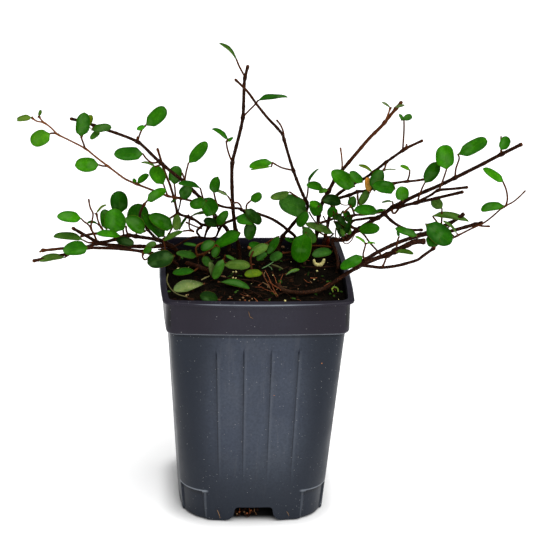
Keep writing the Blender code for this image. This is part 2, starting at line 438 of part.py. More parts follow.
            leaf((6.2, 10.8), (-2.2, 7.2), 5.4, -4, -4, 14),
            leaf((11.6, 14.8), (6.6, 7.0), 3.8, -1, -3, 14, ((4.9, 11.2), (9, 13.8))),
            leaf((5.8, 7.2), (1.4, 3.6), 3.4, -3, -3, 20, ((4.6, 10.8),)),
        ],
    ),
    "sprig_right": (
        [
            stem(1.3, 1.0, ((24.2, 5.4, 25), (24.6, 11, 27), (24.8, 16.4, 27), (23.4, 19.4, 26)),
                 root=(24.0, 2.2)),
        ],
        [
            leaf((24.6, 16.2), (21.6, 3.0), 9.8, -8, -6, 12),
            leaf((23.4, 19.4), (28.8, 12.4), 4.8, -3, -3, 14),
            leaf((37.2, 7.6), (28.2, 6.2), 4.4, -6, -4, 20, ((24.6, 10.4), (33, 10.4), (37.6, 9.4))),
            leaf((13.2, 6.8), (7.8, 4.0), 4.2, -7, -3, 20, ((24.3, 7), (18, 7.4))),
        ],
    ),
}

# Leaves that have fallen on the soil: base, tip, width, depth, lean and roll, as for the leaves above.
FALLEN_LEAVES = {
    "fallen_leaf_pale": ((-25.4, -6.6), (-38.4, -9.0), 6.8, -14, -4, 28),
    "fallen_leaf_front": ((-16.4, -6.6), (-3.0, -9.0), 4.6, -11, -5, 52),
    "fallen_leaf_dark": ((-17.6, -15.2), (-25.8, -13.4), 5.4, -31, -1, 20),
    "fallen_leaf_narrow": ((14.2, -3.2), (20.6, -1.2), 2.8, 2, 4, 40),
}
FALLEN_STALK_PATH = ((-40.8, -3.6), (-41.1, -7.0), (-40.2, -10.4), (-37.4, -13.0), (-34.2, -14.2),
                     (-30.6, -14.8))
FALLEN_STALK_THICK = 0.9
PERLITE_ARC = ((28.2, 3.4), (28.9, 1.4), (30.8, 0.6), (32.8, 1.4), (33.5, 4.0))
PERLITE_SHARES = (0.7, 1.0, 1.1, 1.0, 0.65)
PERLITE_THICK = 1.8


def new_material(name, colour, roughness, metallic=0.0):
    """A plain Principled material."""
    material = bpy.data.materials.new(name)
    material.use_nodes = True
    shader = material.node_tree.nodes["Principled BSDF"]
    shader.inputs["Base Color"].default_value = (*colour, 1.0)
    shader.inputs["Roughness"].default_value = roughness
    shader.inputs["Metallic"].default_value = metallic
    return material


def sight_axes():
    """The viewer's place and the sheet's across and up directions, in millimetres."""
    turn, tilt = math.sin(SIGHT_TURN), math.cos(SIGHT_TILT)
    back = Vector((turn * tilt, -math.cos(SIGHT_TURN) * tilt, math.sin(SIGHT_TILT)))
    level = Vector((math.cos(SIGHT_TURN), math.sin(SIGHT_TURN), 0.0))
    rise = back.cross(level)
    across = level * math.cos(SIGHT_ROLL) + rise * math.sin(SIGHT_ROLL)
    up = rise * math.cos(SIGHT_ROLL) - level * math.sin(SIGHT_ROLL)
    return SIGHT_TARGET + back * SIGHT_DISTANCE, across, up


EYE, ACROSS, UP = sight_axes()


def at_depth(u, v, y):
    """The point at depth y that shows at (u, v) on the sheet."""
    ray = SHEET_CENTRE + ACROSS * u + UP * v - EYE
    return EYE + ray * ((y - EYE.y) / ray.y)


def at_height(u, v, z):
    """The point at height z that shows at (u, v) on the sheet."""
    ray = SHEET_CENTRE + ACROSS * u + UP * v - EYE
    return EYE + ray * ((z - EYE.z) / ray.z)


def soil_height(x, y):
    """The soil's uneven top."""
    mound = SOIL_MOUND * math.cos(min(1.0, math.hypot(x, y) / LIP_HALF) * math.pi / 2)
    bumps = math.sin(x * 0.31 + 0.7) * math.cos(y * 0.27 - 0.4) + 0.6 * math.sin(x * 0.53 - y * 0.47 + 1.9)
    return SOIL_TOP + mound + SOIL_BUMP * bumps


def on_soil(u, v, lift):
    """The point a little above the soil that shows at (u, v) on the sheet."""
    z = SOIL_TOP + lift
    for _ in range(4):
        point = at_height(u, v, z)
        z = soil_height(point.x, point.y) + lift
    return at_height(u, v, z)


def mesh_object(name, build, materials):
    """An object from a function that fills a bmesh; lengths there are in millimetres."""
    bm = bmesh.new()
    build(bm)
    bmesh.ops.scale(bm, vec=(MM, MM, MM), verts=bm.verts)
    bmesh.ops.recalc_face_normals(bm, faces=bm.faces)
    mesh = bpy.data.meshes.new(name)
    bm.to_mesh(mesh)
    bm.free()
    for material in materials:
        mesh.materials.append(material)
    ob = bpy.data.objects.new(name, mesh)
    bpy.context.scene.collection.objects.link(ob)
    return ob


def apply_modifiers(ob):
    """Keeps the evaluated mesh as the object's own."""
    depsgraph = bpy.context.evaluated_depsgraph_get()
    mesh = bpy.data.meshes.new_from_object(ob.evaluated_get(depsgraph))
    ob.modifiers.clear()
    ob.data = mesh


def cut(ob, name, build):
    """Takes what a function builds out of an object."""
    cutter = mesh_object(name, build, [])
    modifier = ob.modifiers.new(name, "BOOLEAN")
    modifier.operation = "DIFFERENCE"
    modifier.solver = "EXACT"
    modifier.object = cutter
    apply_modifiers(ob)
    bpy.data.objects.remove(cutter)


def bridge(bm, loops):
    """Faces between closed loops of equal length, in order."""
    count = len(loops[0])
    faces = []
    for lower, upper in zip(loops, loops[1:]):
        for i in range(count):
            j = (i + 1) % count
            faces.append(bm.faces.new((lower[i], lower[j], upper[j], upper[i])))
    return faces


def loft(bm, rings):
    """Joins closed rings of points in order and closes both ends."""
    loops = [[bm.verts.new(point) for point in ring] for ring in rings]
    return bridge(bm, loops) + [bm.faces.new(loops[0][::-1]), bm.faces.new(loops[-1])]


def body_half(z):
    """The outer half width of the pot's tapering body."""
    return BASE_HALF + (BODY_HALF - BASE_HALF) * z / BAND_FOOT


def corner_radius(z):
    """The plan's corners are rounder lower down."""
    if z > BAND_FOOT:
        return LIP_CORNER
    return BASE_CORNER + (BODY_CORNER - BASE_CORNER) * z / BAND_FOOT


def plan(half, z, inset=0.0):
    """A rounded square with bowed sides at height z, drawn in from half by inset."""
    corner = corner_radius(z) - inset
    straight = half - SIDE_BOW - corner_radius(z)
    points = []
    for quarter in range(4):
        turn = Matrix.Rotation(quarter * math.pi / 2, 3, "Z")
        for mark in SIDE_MARKS:
            points.append(turn @ Vector((half - inset - SIDE_BOW * mark * mark, mark * straight, z)))
        for step in range(CORNER_STEPS + 1):
            angle = math.pi / 2 * step / CORNER_STEPS
            across, along = corner * math.cos(angle), corner * math.sin(angle)
            points.append(turn @ Vector((straight + across, straight + along, z)))
    return points


def outer_rings():
    """The pot's outside, from its base to its lip."""
    neck = POT_HEIGHT - LIP_HEIGHT
    levels = [
        (body_half(0) - BASE_ROUND, 0.0),
        (body_half(BASE_ROUND * 2), BASE_ROUND * 2),
        (BODY_HALF, BAND_FOOT),
        (BAND_HALF - LEDGE_ROUND, BAND_FOOT + 0.2),
        (BAND_HALF - LEDGE_ROUND / 4, BAND_FOOT + LEDGE_ROUND),
        (BAND_HALF, BAND_FOOT + LEDGE_ROUND * 2.5),
        (BAND_HALF, neck - 0.6),
        (LIP_HALF - 0.3, neck),
        (LIP_HALF, neck + LIP_HEIGHT / 2),
        (LIP_HALF - LIP_ROUND, POT_HEIGHT),
    ]
    return [plan(half, z) for half, z in levels]


def room_rings(clearance, top):
    """The room inside the walls, from the floor up; clearance narrows it."""
    levels = [
        (body_half(FLOOR), FLOOR + clearance),
        (BODY_HALF, BAND_FOOT - 1.0),
        (BAND_HALF, BAND_FOOT + 1.0),
        (BAND_HALF, top),
    ]
    return [plan(half, z, WALL + clearance) for half, z in levels]


def side_notches(bm, clearance):
    """A notch under the middle of each side, which widens downward; clearance makes it larger all round."""
    for quarter in range(4):
        turn = Matrix.Rotation(quarter * math.pi / 2, 3, "Z")
        rings = []
        for z, wider in ((-1.0, NOTCH_FLARE / 2), (NOTCH_BEND, NOTCH_FLARE / 5), (NOTCH_HEIGHT, 0.0)):
            near = NOTCH_WIDTH / 2 + wider + clearance
            start = NOTCH_START - wider / 2 - clearance
            level = z + clearance if z > 0 else z
            corners = ((start, -near), (NOTCH_END, -near), (NOTCH_END, near), (start, near))
            rings.append([turn @ Vector((x, y, level)) for x, y in corners])
        loft(bm, rings)


def drain_holes(bm):
    """A round hole through the roof of each notch."""
    for quarter in range(4):
        angle = quarter * math.pi / 2
        place = (DRAIN_PLACE * math.cos(angle), DRAIN_PLACE * math.sin(angle), NOTCH_HEIGHT)
        bmesh.ops.create_cone(bm, cap_ends=True, segments=HOLE_SIDES, radius1=DRAIN_RADIUS,
                              radius2=DRAIN_RADIUS, depth=8.0, matrix=Matrix.Translation(place))


def foot_recess(bm):
    """What is taken off the four corners near the base, which leaves a low ledge above each."""
    for quarter in range(4):
        turn = Matrix.Rotation(quarter * math.pi / 2, 3, "Z")
        rings = []
        for z, recess in ((-1.0, FOOT_RECESS), (FOOT_HEIGHT - 1.0, FOOT_RECESS), (FOOT_HEIGHT, -0.1)):
            radius = corner_radius(z)
            straight = body_half(z) - SIDE_BOW - radius
            middle = Vector((straight, straight, z))
            outline = [(FOOT_TURN, radius + 0.1)]
            for step in range(FOOT_STEPS + 1):
                share = step / FOOT_STEPS
                angle = FOOT_TURN + FOOT_SLOPE + (math.pi / 2 - 2 * (FOOT_TURN + FOOT_SLOPE)) * share
                outline.append((angle, radius - recess))
            outline.append((math.pi / 2 - FOOT_TURN, radius + 0.1))
            outline += [(math.pi / 2 - FOOT_TURN, radius + 15.0), (FOOT_TURN, radius + 15.0)]
            spots = [Vector((math.cos(angle), math.sin(angle), 0)) * reach for angle, reach in outline]
            rings.append([turn @ (middle + spot) for spot in spots])
        loft(bm, rings)


def side_grooves(bm):
    """Four shallow grooves down each side, pointed at the top and fading toward the base."""
    for quarter in range(4):
        turn = Matrix.Rotation(quarter * math.pi / 2, 3, "Z")
        for centre in GROOVES:
            rings = []
            for z, depth in GROOVE_LEVELS:
                half = body_half(z)
                along = centre * half / body_half(GROOVE_LEVELS[-1][0])
                straight = half - SIDE_BOW - corner_radius(z)
                face = half - SIDE_BOW * min(1.0, along / straight) ** 2
                section = ((GROOVE_PROUD, -GROOVE_SOFT), (-depth, 0.0), (GROOVE_PROUD, GROOVE_SHARP))
                rings.append([turn @ Vector((face + out, along + aside, z)) for out, aside in section])
            loft(bm, rings)


def make_pot(material):
    """The square nursery pot: tapering walls, band and lip, and a notch under each side."""
    pot = mesh_object("pot", lambda bm: loft(bm, outer_rings()), [material])
    cut(pot, "grooves", side_grooves)
    cut(pot, "recess", foot_recess)
    room = mesh_object("room", lambda bm: loft(bm, room_rings(0.0, POT_HEIGHT + 2.0)), [])
    cut(room, "notches", lambda bm: side_notches(bm, WALL))
    modifier = pot.modifiers.new("room", "BOOLEAN")
    modifier.operation = "DIFFERENCE"
    modifier.object = room
    apply_modifiers(pot)
    bpy.data.objects.remove(room)
    cut(pot, "notches", lambda bm: side_notches(bm, 0.0))
    cut(pot, "drains", drain_holes)
    pot.data.shade_smooth()
    pot.data.set_sharp_from_angle(angle=math.radians(35))
    return pot


def soil_lid(bm):
    """Everything over the soil's uneven top."""
    levels = []
    for ring in range(1, SOIL_RINGS + 1):
        reach = SOIL_REACH * ring / SOIL_RINGS
        turns = [2 * math.pi * spoke / SOIL_SPOKES for spoke in range(SOIL_SPOKES)]
        spots = [(reach * math.cos(turn), reach * math.sin(turn)) for turn in turns]
        levels.append([bm.verts.new((x, y, soil_height(x, y))) for x, y in spots])
    levels.append([bm.verts.new((vert.co.x, vert.co.y, POT_HEIGHT + 20.0)) for vert in levels[-1]])
    bmesh.ops.triangulate(bm, faces=bridge(bm, levels))
    middle = bm.verts.new((0.0, 0.0, soil_height(0.0, 0.0)))
    for i, vert in enumerate(levels[0]):
        bm.faces.new((vert, levels[0][i - 1], middle))
    bm.faces.new(levels[-1])


def root_bores(bm, holes):
    """A plain round hole for each root."""
    for place, radius in holes:
        centre = Matrix.Translation((place.x, place.y, place.z - GAP + 15.0))
        bmesh.ops.create_cone(bm, cap_ends=True, segments=HOLE_SIDES, radius1=radius, radius2=radius,
                              depth=30.0, matrix=centre)


def make_soil(material, holes):
    """The soil that fills the pot, with a plain hole for each root."""
    soil = mesh_object("soil", lambda bm: loft(bm, room_rings(GAP, POT_HEIGHT)), [material])
    cut(soil, "notches", lambda bm: side_notches(bm, WALL + GAP))
    cut(soil, "lid", soil_lid)
    cut(soil, "bores", lambda bm: root_bores(bm, holes))
    return soil


def carried_frames(points, across, other):
    """Directions at each point, carried back along the points from the last one."""
    frames = []
    for i in range(len(points) - 1, -1, -1):
        ahead = points[min(i + 1, len(points) - 1)] - points[max(i - 1, 0)]
        tangent = ahead.normalized()
        across = (across - tangent * across.dot(tangent)).normalized()
        turned = tangent.cross(across)
        other = turned if turned.dot(other) > 0 else -turned
        frames.append((across, other))
    return frames[::-1]


def tube(bm, points, radii, sides, start=None):
    """A closed tube of few sides along the points; start is one direction across its last ring."""
    start = start or (points[-1] - points[-2]).orthogonal().normalized()
    rings = []
    for point, radius, (across, other) in zip(points, radii, carried_frames(points, start, start)):
        turns = [2 * math.pi * k / sides for k in range(sides)]
        spokes = [across * math.cos(turn) + other * math.sin(turn) for turn in turns]
        rings.append([point + spoke * radius for spoke in spokes])
    loft(bm, rings)


def thinned(points, slack):
    """The points without those that lie within slack of the line between their neighbours."""
    kept = [points[0]]
    for i in range(1, len(points) - 1):
        run = points[i + 1] - kept[-1]
        aside = (points[i] - kept[-1]).cross(run).length / run.length
        if aside > slack:
            kept.append(points[i])
    return kept + [points[-1]]


def blade_stations(width):
    """Where along a blade its edges and midrib have points; small blades have fewer."""
    if width < SMALL_BLADE:
        return SMALL_OUTLINE
    return WIDE_OUTLINE if width >= WIDE_BLADE else OUTLINE


def leaf_body(bm, path, tip, side, normal, width):
    """A stalk that runs on into a thin folded blade, split alike on both faces."""
    base = path[-1]
    onward = base + (tip - base).normalized() * (base - path[-2]).length
    rings = []
    for point, (across, other) in zip(path, carried_frames(path + [onward], side, normal)):
        rings.append([point + spoke * STALK_THICK / 2 for spoke in (across, other, -across, -other)])
    loops = [[bm.verts.new(point) for point in ring] for ring in rings]
    bm.faces.new(loops[0][::-1])
    for face in bridge(bm, loops):
        face.material_index = 0
    along = tip - base
    half_thick = normal * BLADE_THICK / 2
    stations = []
    for share, edge, wave in blade_stations(width):
        spine = base + along * share + normal * (along.length * BLADE_ARCH * 4 * share * (1 - share))
        reach = edge * width / 2
        left = spine + side * reach + normal * (reach * BLADE_FOLD + wave * width)
        right = spine - side * reach + normal * (reach * BLADE_FOLD - wave * width)
        row = []
        for point in (left, spine, right):
            row.append((bm.verts.new(point + half_thick), bm.verts.new(point - half_thick)))
        stations.append(row)
    tips = (bm.verts.new(tip + half_thick), bm.verts.new(tip - half_thick))
    left_foot, upper_foot, right_foot, lower_foot = loops[-1]
    faces = []
    for layer, foot in ((0, upper_foot), (1, lower_foot)):
        rows = [[pair[layer] for pair in row] for row in stations]
        faces += [(foot, rows[0][0], rows[0][1]), (foot, rows[0][1], rows[0][2])]
        for (l1, m1, r1), (l2, m2, r2) in zip(rows, rows[1:]):
            faces += [(l1, l2, m2), (l1, m2, m1), (r1, m1, m2), (r1, m2, r2)]
        faces += [(rows[-1][0], tips[layer], rows[-1][1]), (rows[-1][1], tips[layer], rows[-1][2])]
    for edge, foot in ((0, left_foot), (2, right_foot)):
        pairs = [row[edge] for row in stations] + [tips]
        upper, lower = pairs[0]
        faces += [(upper_foot, foot, upper), (foot, lower, upper), (foot, lower_foot, lower)]
        for (u1, d1), (u2, d2) in zip(pairs, pairs[1:]):
            faces += [(u1, d1, d2), (u1, d2, u2)]
    for corners in faces:
        bm.faces.new(corners).material_index = 1


def sunk(start, after):
    """The start of a twig or stalk, moved a little deeper into what it grows from."""
    return start - (after - start).normalized() * SUNK_START


def stem_points(entry):
    """The stem's points in space, from the foot of its root to its tip."""
    points = []
    if entry.root:
        place = on_soil(*entry.root, 0.0)
        points = [Vector((place.x, place.y, z)) for z in (SOIL_TOP - ROOT_DEPTH, place.z + ROOT_NECK)]
    for u, v, y in entry.points:
        lift = entry.thick[0] / 2 + LAID_LIFT
        points.append(on_soil(u, v, lift) if y is ON_SOIL else at_depth(u, v, y))
    if not entry.root:
        points[0] = sunk(points[0], points[1])
    return points


def stem_route(entry):
    """The stem's points as places on the sheet with their depths."""
    places = [(*entry.root, ON_SOIL)] if entry.root else []
    return [(u, v, on_soil(u, v, 1.0).y if y is ON_SOIL else y) for u, v, y in places + list(entry.points)]


def nearest_on(routes, u, v):
    """The place on any of the routes that shows nearest to (u, v)."""
    best = None
    for route in routes:
        for a, b in zip(route, route[1:]):
            run = Vector((b[0] - a[0], b[1] - a[1]))
            share = (Vector((u, v)) - Vector(a[:2])).dot(run) / max(run.length_squared, 1e-9)
            spot = Vector(a).lerp(Vector(b), max(0.0, min(1.0, share)))
            distance = math.hypot(spot.x - u, spot.y - v)
            if best is None or distance < best[0]:
                best = (distance, spot)
    return best[1]


def leaf_frame(base, tip, roll):
    """The blade's across direction and its upper face's normal, turned by roll from facing the viewer."""
    along = (tip - base).normalized()
    facing = EYE - base
    facing = (facing - along * facing.dot(along)).normalized()
    side = along.cross(facing)
    if side.z < 0:
        side = -side
    normal = facing * math.cos(roll) + side * math.sin(roll)
    return along.cross(normal), normal


def leaf_builder(item, routes):
    """The function that builds one leaf, from the nearest stem or stalk to its tip."""
    first, *stops = item.stalk or (item.base,)
    start = nearest_on(routes, *first)
    drawn = [tuple(start)]
    for step, (u, v) in enumerate(stops, 1):
        drawn.append((u, v, start.z + item.out * step / (len(stops) + 1)))
    drawn.append((*item.base, start.z + item.out))
    path = [at_depth(*spot) for spot in drawn]
    base, tip = path[-1], at_depth(*item.tip, start.z + item.out + item.lean)
    if (base - path[0]).length < SUNK_STALK:
        path = [base - (tip - base).normalized() * SUNK_STALK, base]
    else:
        path[0] = sunk(path[0], path[1])
        routes.append(drawn)
    side, normal = leaf_frame(base, tip, math.radians(item.roll))
    return lambda bm: leaf_body(bm, path, tip, side, normal, item.width)


def tidy_seams(ob):
    """Merges corners that joining left closer than the merge distance, and keeps the largest body."""
    bm = bmesh.new()
    bm.from_mesh(ob.data)
    bmesh.ops.remove_doubles(bm, verts=bm.verts, dist=MERGE)
    bmesh.ops.dissolve_degenerate(bm, edges=bm.edges, dist=MERGE / 10)
    todo, bodies = set(bm.faces), []
    while todo:
        front = [todo.pop()]
        body = list(front)
        while front:
            around = {other for edge in front.pop().edges for other in edge.link_faces} & todo
            todo -= around
            front += around
            body += around
        bodies.append(body)
    for body in sorted(bodies, key=len)[:-1]:
        bmesh.ops.delete(bm, geom=body, context="FACES")
    bmesh.ops.delete(bm, geom=[edge for edge in bm.edges if not edge.link_faces], context="EDGES")
    bmesh.ops.delete(bm, geom=[vert for vert in bm.verts if not vert.link_faces], context="VERTS")
    bm.to_mesh(ob.data)
    bm.free()


def fuse(name, builders, materials):
    """Joins pieces that grow into each other into one closed body."""
    body = mesh_object(name, builders[0], materials)
    rest = bpy.data.collections.new(name + "_pieces")
    bpy.context.scene.collection.children.link(rest)
    for number, build in enumerate(builders[1:]):
        piece = mesh_object(f"{name}_{number}", build, materials)
        bpy.context.scene.collection.objects.unlink(piece)
        rest.objects.link(piece)
    modifier = body.modifiers.new("join", "BOOLEAN")
    modifier.operation = "UNION"
    modifier.operand_type = "COLLECTION"
    modifier.collection = rest
    modifier.solver = "MANIFOLD"
    apply_modifiers(body)
    for piece in list(rest.objects):
        bpy.data.objects.remove(piece)
    bpy.data.collections.remove(rest)
    tidy_seams(body)


def stem_builder(entry):
    """The function that builds one stem or twig."""
    points = thinned(stem_points(entry), STEM_SLACK)
    count = len(points) - 1
    thick, thin = entry.thick
    radii = [(thick + (thin - thick) * i / count) / 2 for i in range(count + 1)]
    sides = STEM_SIDES if thick >= TWIG_THICK else TWIG_SIDES
    return lambda bm: tube(bm, points, radii, sides)


def make_leafy_stem(name, stems, leaves, materials):
    """One leafy stem with its twigs, stalks and blades grown together; returns its holes in the soil."""
    routes = [stem_route(entry) for entry in stems]
    builders = [stem_builder(entry) for entry in stems]
    builders += [leaf_builder(item, routes) for item in leaves]
    fuse(name, builders, materials)
    return [(stem_points(entry)[0], entry.thick[0] / 2 + GAP) for entry in stems if entry.root]


def drop_onto(ob, ground):
    """The least height between a loose piece and what lies below it."""
    trees = [BVHTree.FromPolygons([v.co for v in o.data.vertices], [f.vertices for f in o.data.polygons])
             for o in (ob, ground)]
    down, far = Vector((0.0, 0.0, -1.0)), Vector((0.0, 0.0, 1.0))
    drops = []
    for vert in ob.data.vertices:
        hit = trees[1].ray_cast(vert.co + far, down)[0]
        drops.append(vert.co.z - hit.z)
    for vert in ground.data.vertices:
        hit = trees[0].ray_cast(vert.co - far, -down)[0]
        if hit:
            drops.append(hit.z - vert.co.z)
    return min(drops)


def settle(ob, soil):
    """Moves a loose piece straight up or down until it lies just off the soil."""
    drop = drop_onto(ob, soil) - GAP * MM
    for vert in ob.data.vertices:
        vert.co.z -= drop


def make_fallen_leaf(name, base, tip, width, depth, lean, roll, soil, material):
    """A leaf that lies on the soil, propped on one edge."""
    start, end = at_depth(*base, depth), at_depth(*tip, depth + lean)
    side, normal = leaf_frame(start, end, math.radians(roll))
    stalk = [start - (end - start).normalized() * FALLEN_STALK, start]
    settle(mesh_object(name, lambda bm: leaf_body(bm, stalk, end, side, normal, width), [material]), soil)


def make_fallen_stalk(soil, material):
    """A pale bare stalk curled round the edge of the soil."""
    points = [on_soil(u, v, FALLEN_STALK_THICK / 2 + GAP) for u, v in FALLEN_STALK_PATH]
    radii = [FALLEN_STALK_THICK / 2] * len(points)
    settle(mesh_object("fallen_stalk", lambda bm: tube(bm, points, radii, STEM_SIDES), [material]), soil)


def make_perlite(soil, material):
    """A curled flake of perlite that stands on the soil."""
    depth = on_soil(*PERLITE_ARC[len(PERLITE_ARC) // 2], 0.0).y
    points = [at_depth(u, v, depth) for u, v in PERLITE_ARC]
    radii = [PERLITE_THICK / 2 * share for share in PERLITE_SHARES]
    facing = (EYE - points[0]).normalized()
    flake = mesh_object("perlite_flake", lambda bm: tube(bm, points, radii, STEM_SIDES, facing), [material])
    settle(flake, soil)


def main():
    for ob in list(bpy.data.objects):
        bpy.data.objects.remove(ob)
    plastic = new_material("pot_plastic", (0.045, 0.052, 0.066), 0.45)
    earth = new_material("soil_mix", (0.012, 0.009, 0.007), 0.95)
    bark = new_material("stem_bark", (0.09, 0.035, 0.018), 0.6)
    green = new_material("leaf_green", (0.05, 0.2, 0.02), 0.45)
    faded = new_material("leaf_faded", (0.42, 0.45, 0.2), 0.7)
    white = new_material("perlite_white", (0.75, 0.72, 0.5), 0.9)
    holes = []
    for name, (stems, leaves) in LEAFY_STEMS.items():
        holes += make_leafy_stem(name, stems, leaves, [bark, green])
    make_pot(plastic)
    soil = make_soil(earth, holes)
    for name, shape in FALLEN_LEAVES.items():
        make_fallen_leaf(name, *shape, soil, faded)
    make_fallen_stalk(soil, faded)
    make_perlite(soil, white)


main()
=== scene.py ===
"""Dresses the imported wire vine: smooth wiry stems, veined leaves, crumbly soil and a moulded nursery pot."""

import math
import random

import bmesh
import bpy
from bpy.props import FloatProperty, FloatVectorProperty, IntProperty, PointerProperty
from mathutils import Matrix, Vector, noise


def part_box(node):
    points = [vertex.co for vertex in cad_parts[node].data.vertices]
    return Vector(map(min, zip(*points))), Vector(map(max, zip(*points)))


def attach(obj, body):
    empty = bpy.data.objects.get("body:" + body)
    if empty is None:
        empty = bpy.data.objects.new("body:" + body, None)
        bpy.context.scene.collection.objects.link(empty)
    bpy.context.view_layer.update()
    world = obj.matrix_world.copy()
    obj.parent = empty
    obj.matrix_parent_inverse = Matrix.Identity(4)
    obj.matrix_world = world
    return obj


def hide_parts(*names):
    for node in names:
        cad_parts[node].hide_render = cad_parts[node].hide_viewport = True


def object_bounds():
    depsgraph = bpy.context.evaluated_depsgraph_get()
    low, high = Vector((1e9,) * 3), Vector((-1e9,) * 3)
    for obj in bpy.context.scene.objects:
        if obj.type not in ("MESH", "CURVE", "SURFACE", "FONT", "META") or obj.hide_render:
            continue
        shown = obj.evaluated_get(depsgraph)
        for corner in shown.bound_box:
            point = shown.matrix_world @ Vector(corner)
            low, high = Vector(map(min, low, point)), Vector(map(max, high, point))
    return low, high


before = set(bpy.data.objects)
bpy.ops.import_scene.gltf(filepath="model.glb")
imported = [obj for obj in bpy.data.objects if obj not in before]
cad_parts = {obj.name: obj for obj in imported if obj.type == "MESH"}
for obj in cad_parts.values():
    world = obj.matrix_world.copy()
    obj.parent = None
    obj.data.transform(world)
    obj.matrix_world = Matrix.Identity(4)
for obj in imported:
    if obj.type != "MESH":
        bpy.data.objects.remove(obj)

bl_info = {
    "name": "Wire Vine in a Nursery Pot",
    "version": (1, 0, 0),
    "blender": (4, 5, 0),
    "location": "3D View > Sidebar > Wire Vine",
    "description": "Builds the stems, leaves, soil and pot of a small wire vine",
    "category": "Add Mesh",
}

MM = 0.001
BODY = "root"
CAD_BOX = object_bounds()

# The plant is drawn on a sheet across the line of sight through the rim's centre, in millimetres. A point is
# how far it lies across and up that sheet, and its depth, which is its world Y. S stands for on the soil.
SIGHT_TURN = math.radians(-3.68)
SIGHT_TILT = math.radians(20.85)
SIGHT_ROLL = math.radians(1.37)
SIGHT_DISTANCE = 877.0
SIGHT_TARGET = Vector((5.74, 0.0, 118.85))
SHEET_CENTRE = Vector((0.0, 0.0, 118.25))
# The camera's focal length and its picture's side in pixels, and its sensor's width in millimetres.
FOCAL, PHOTO_SIDE, SENSOR = 1828.2, 533, 36.0
S = None

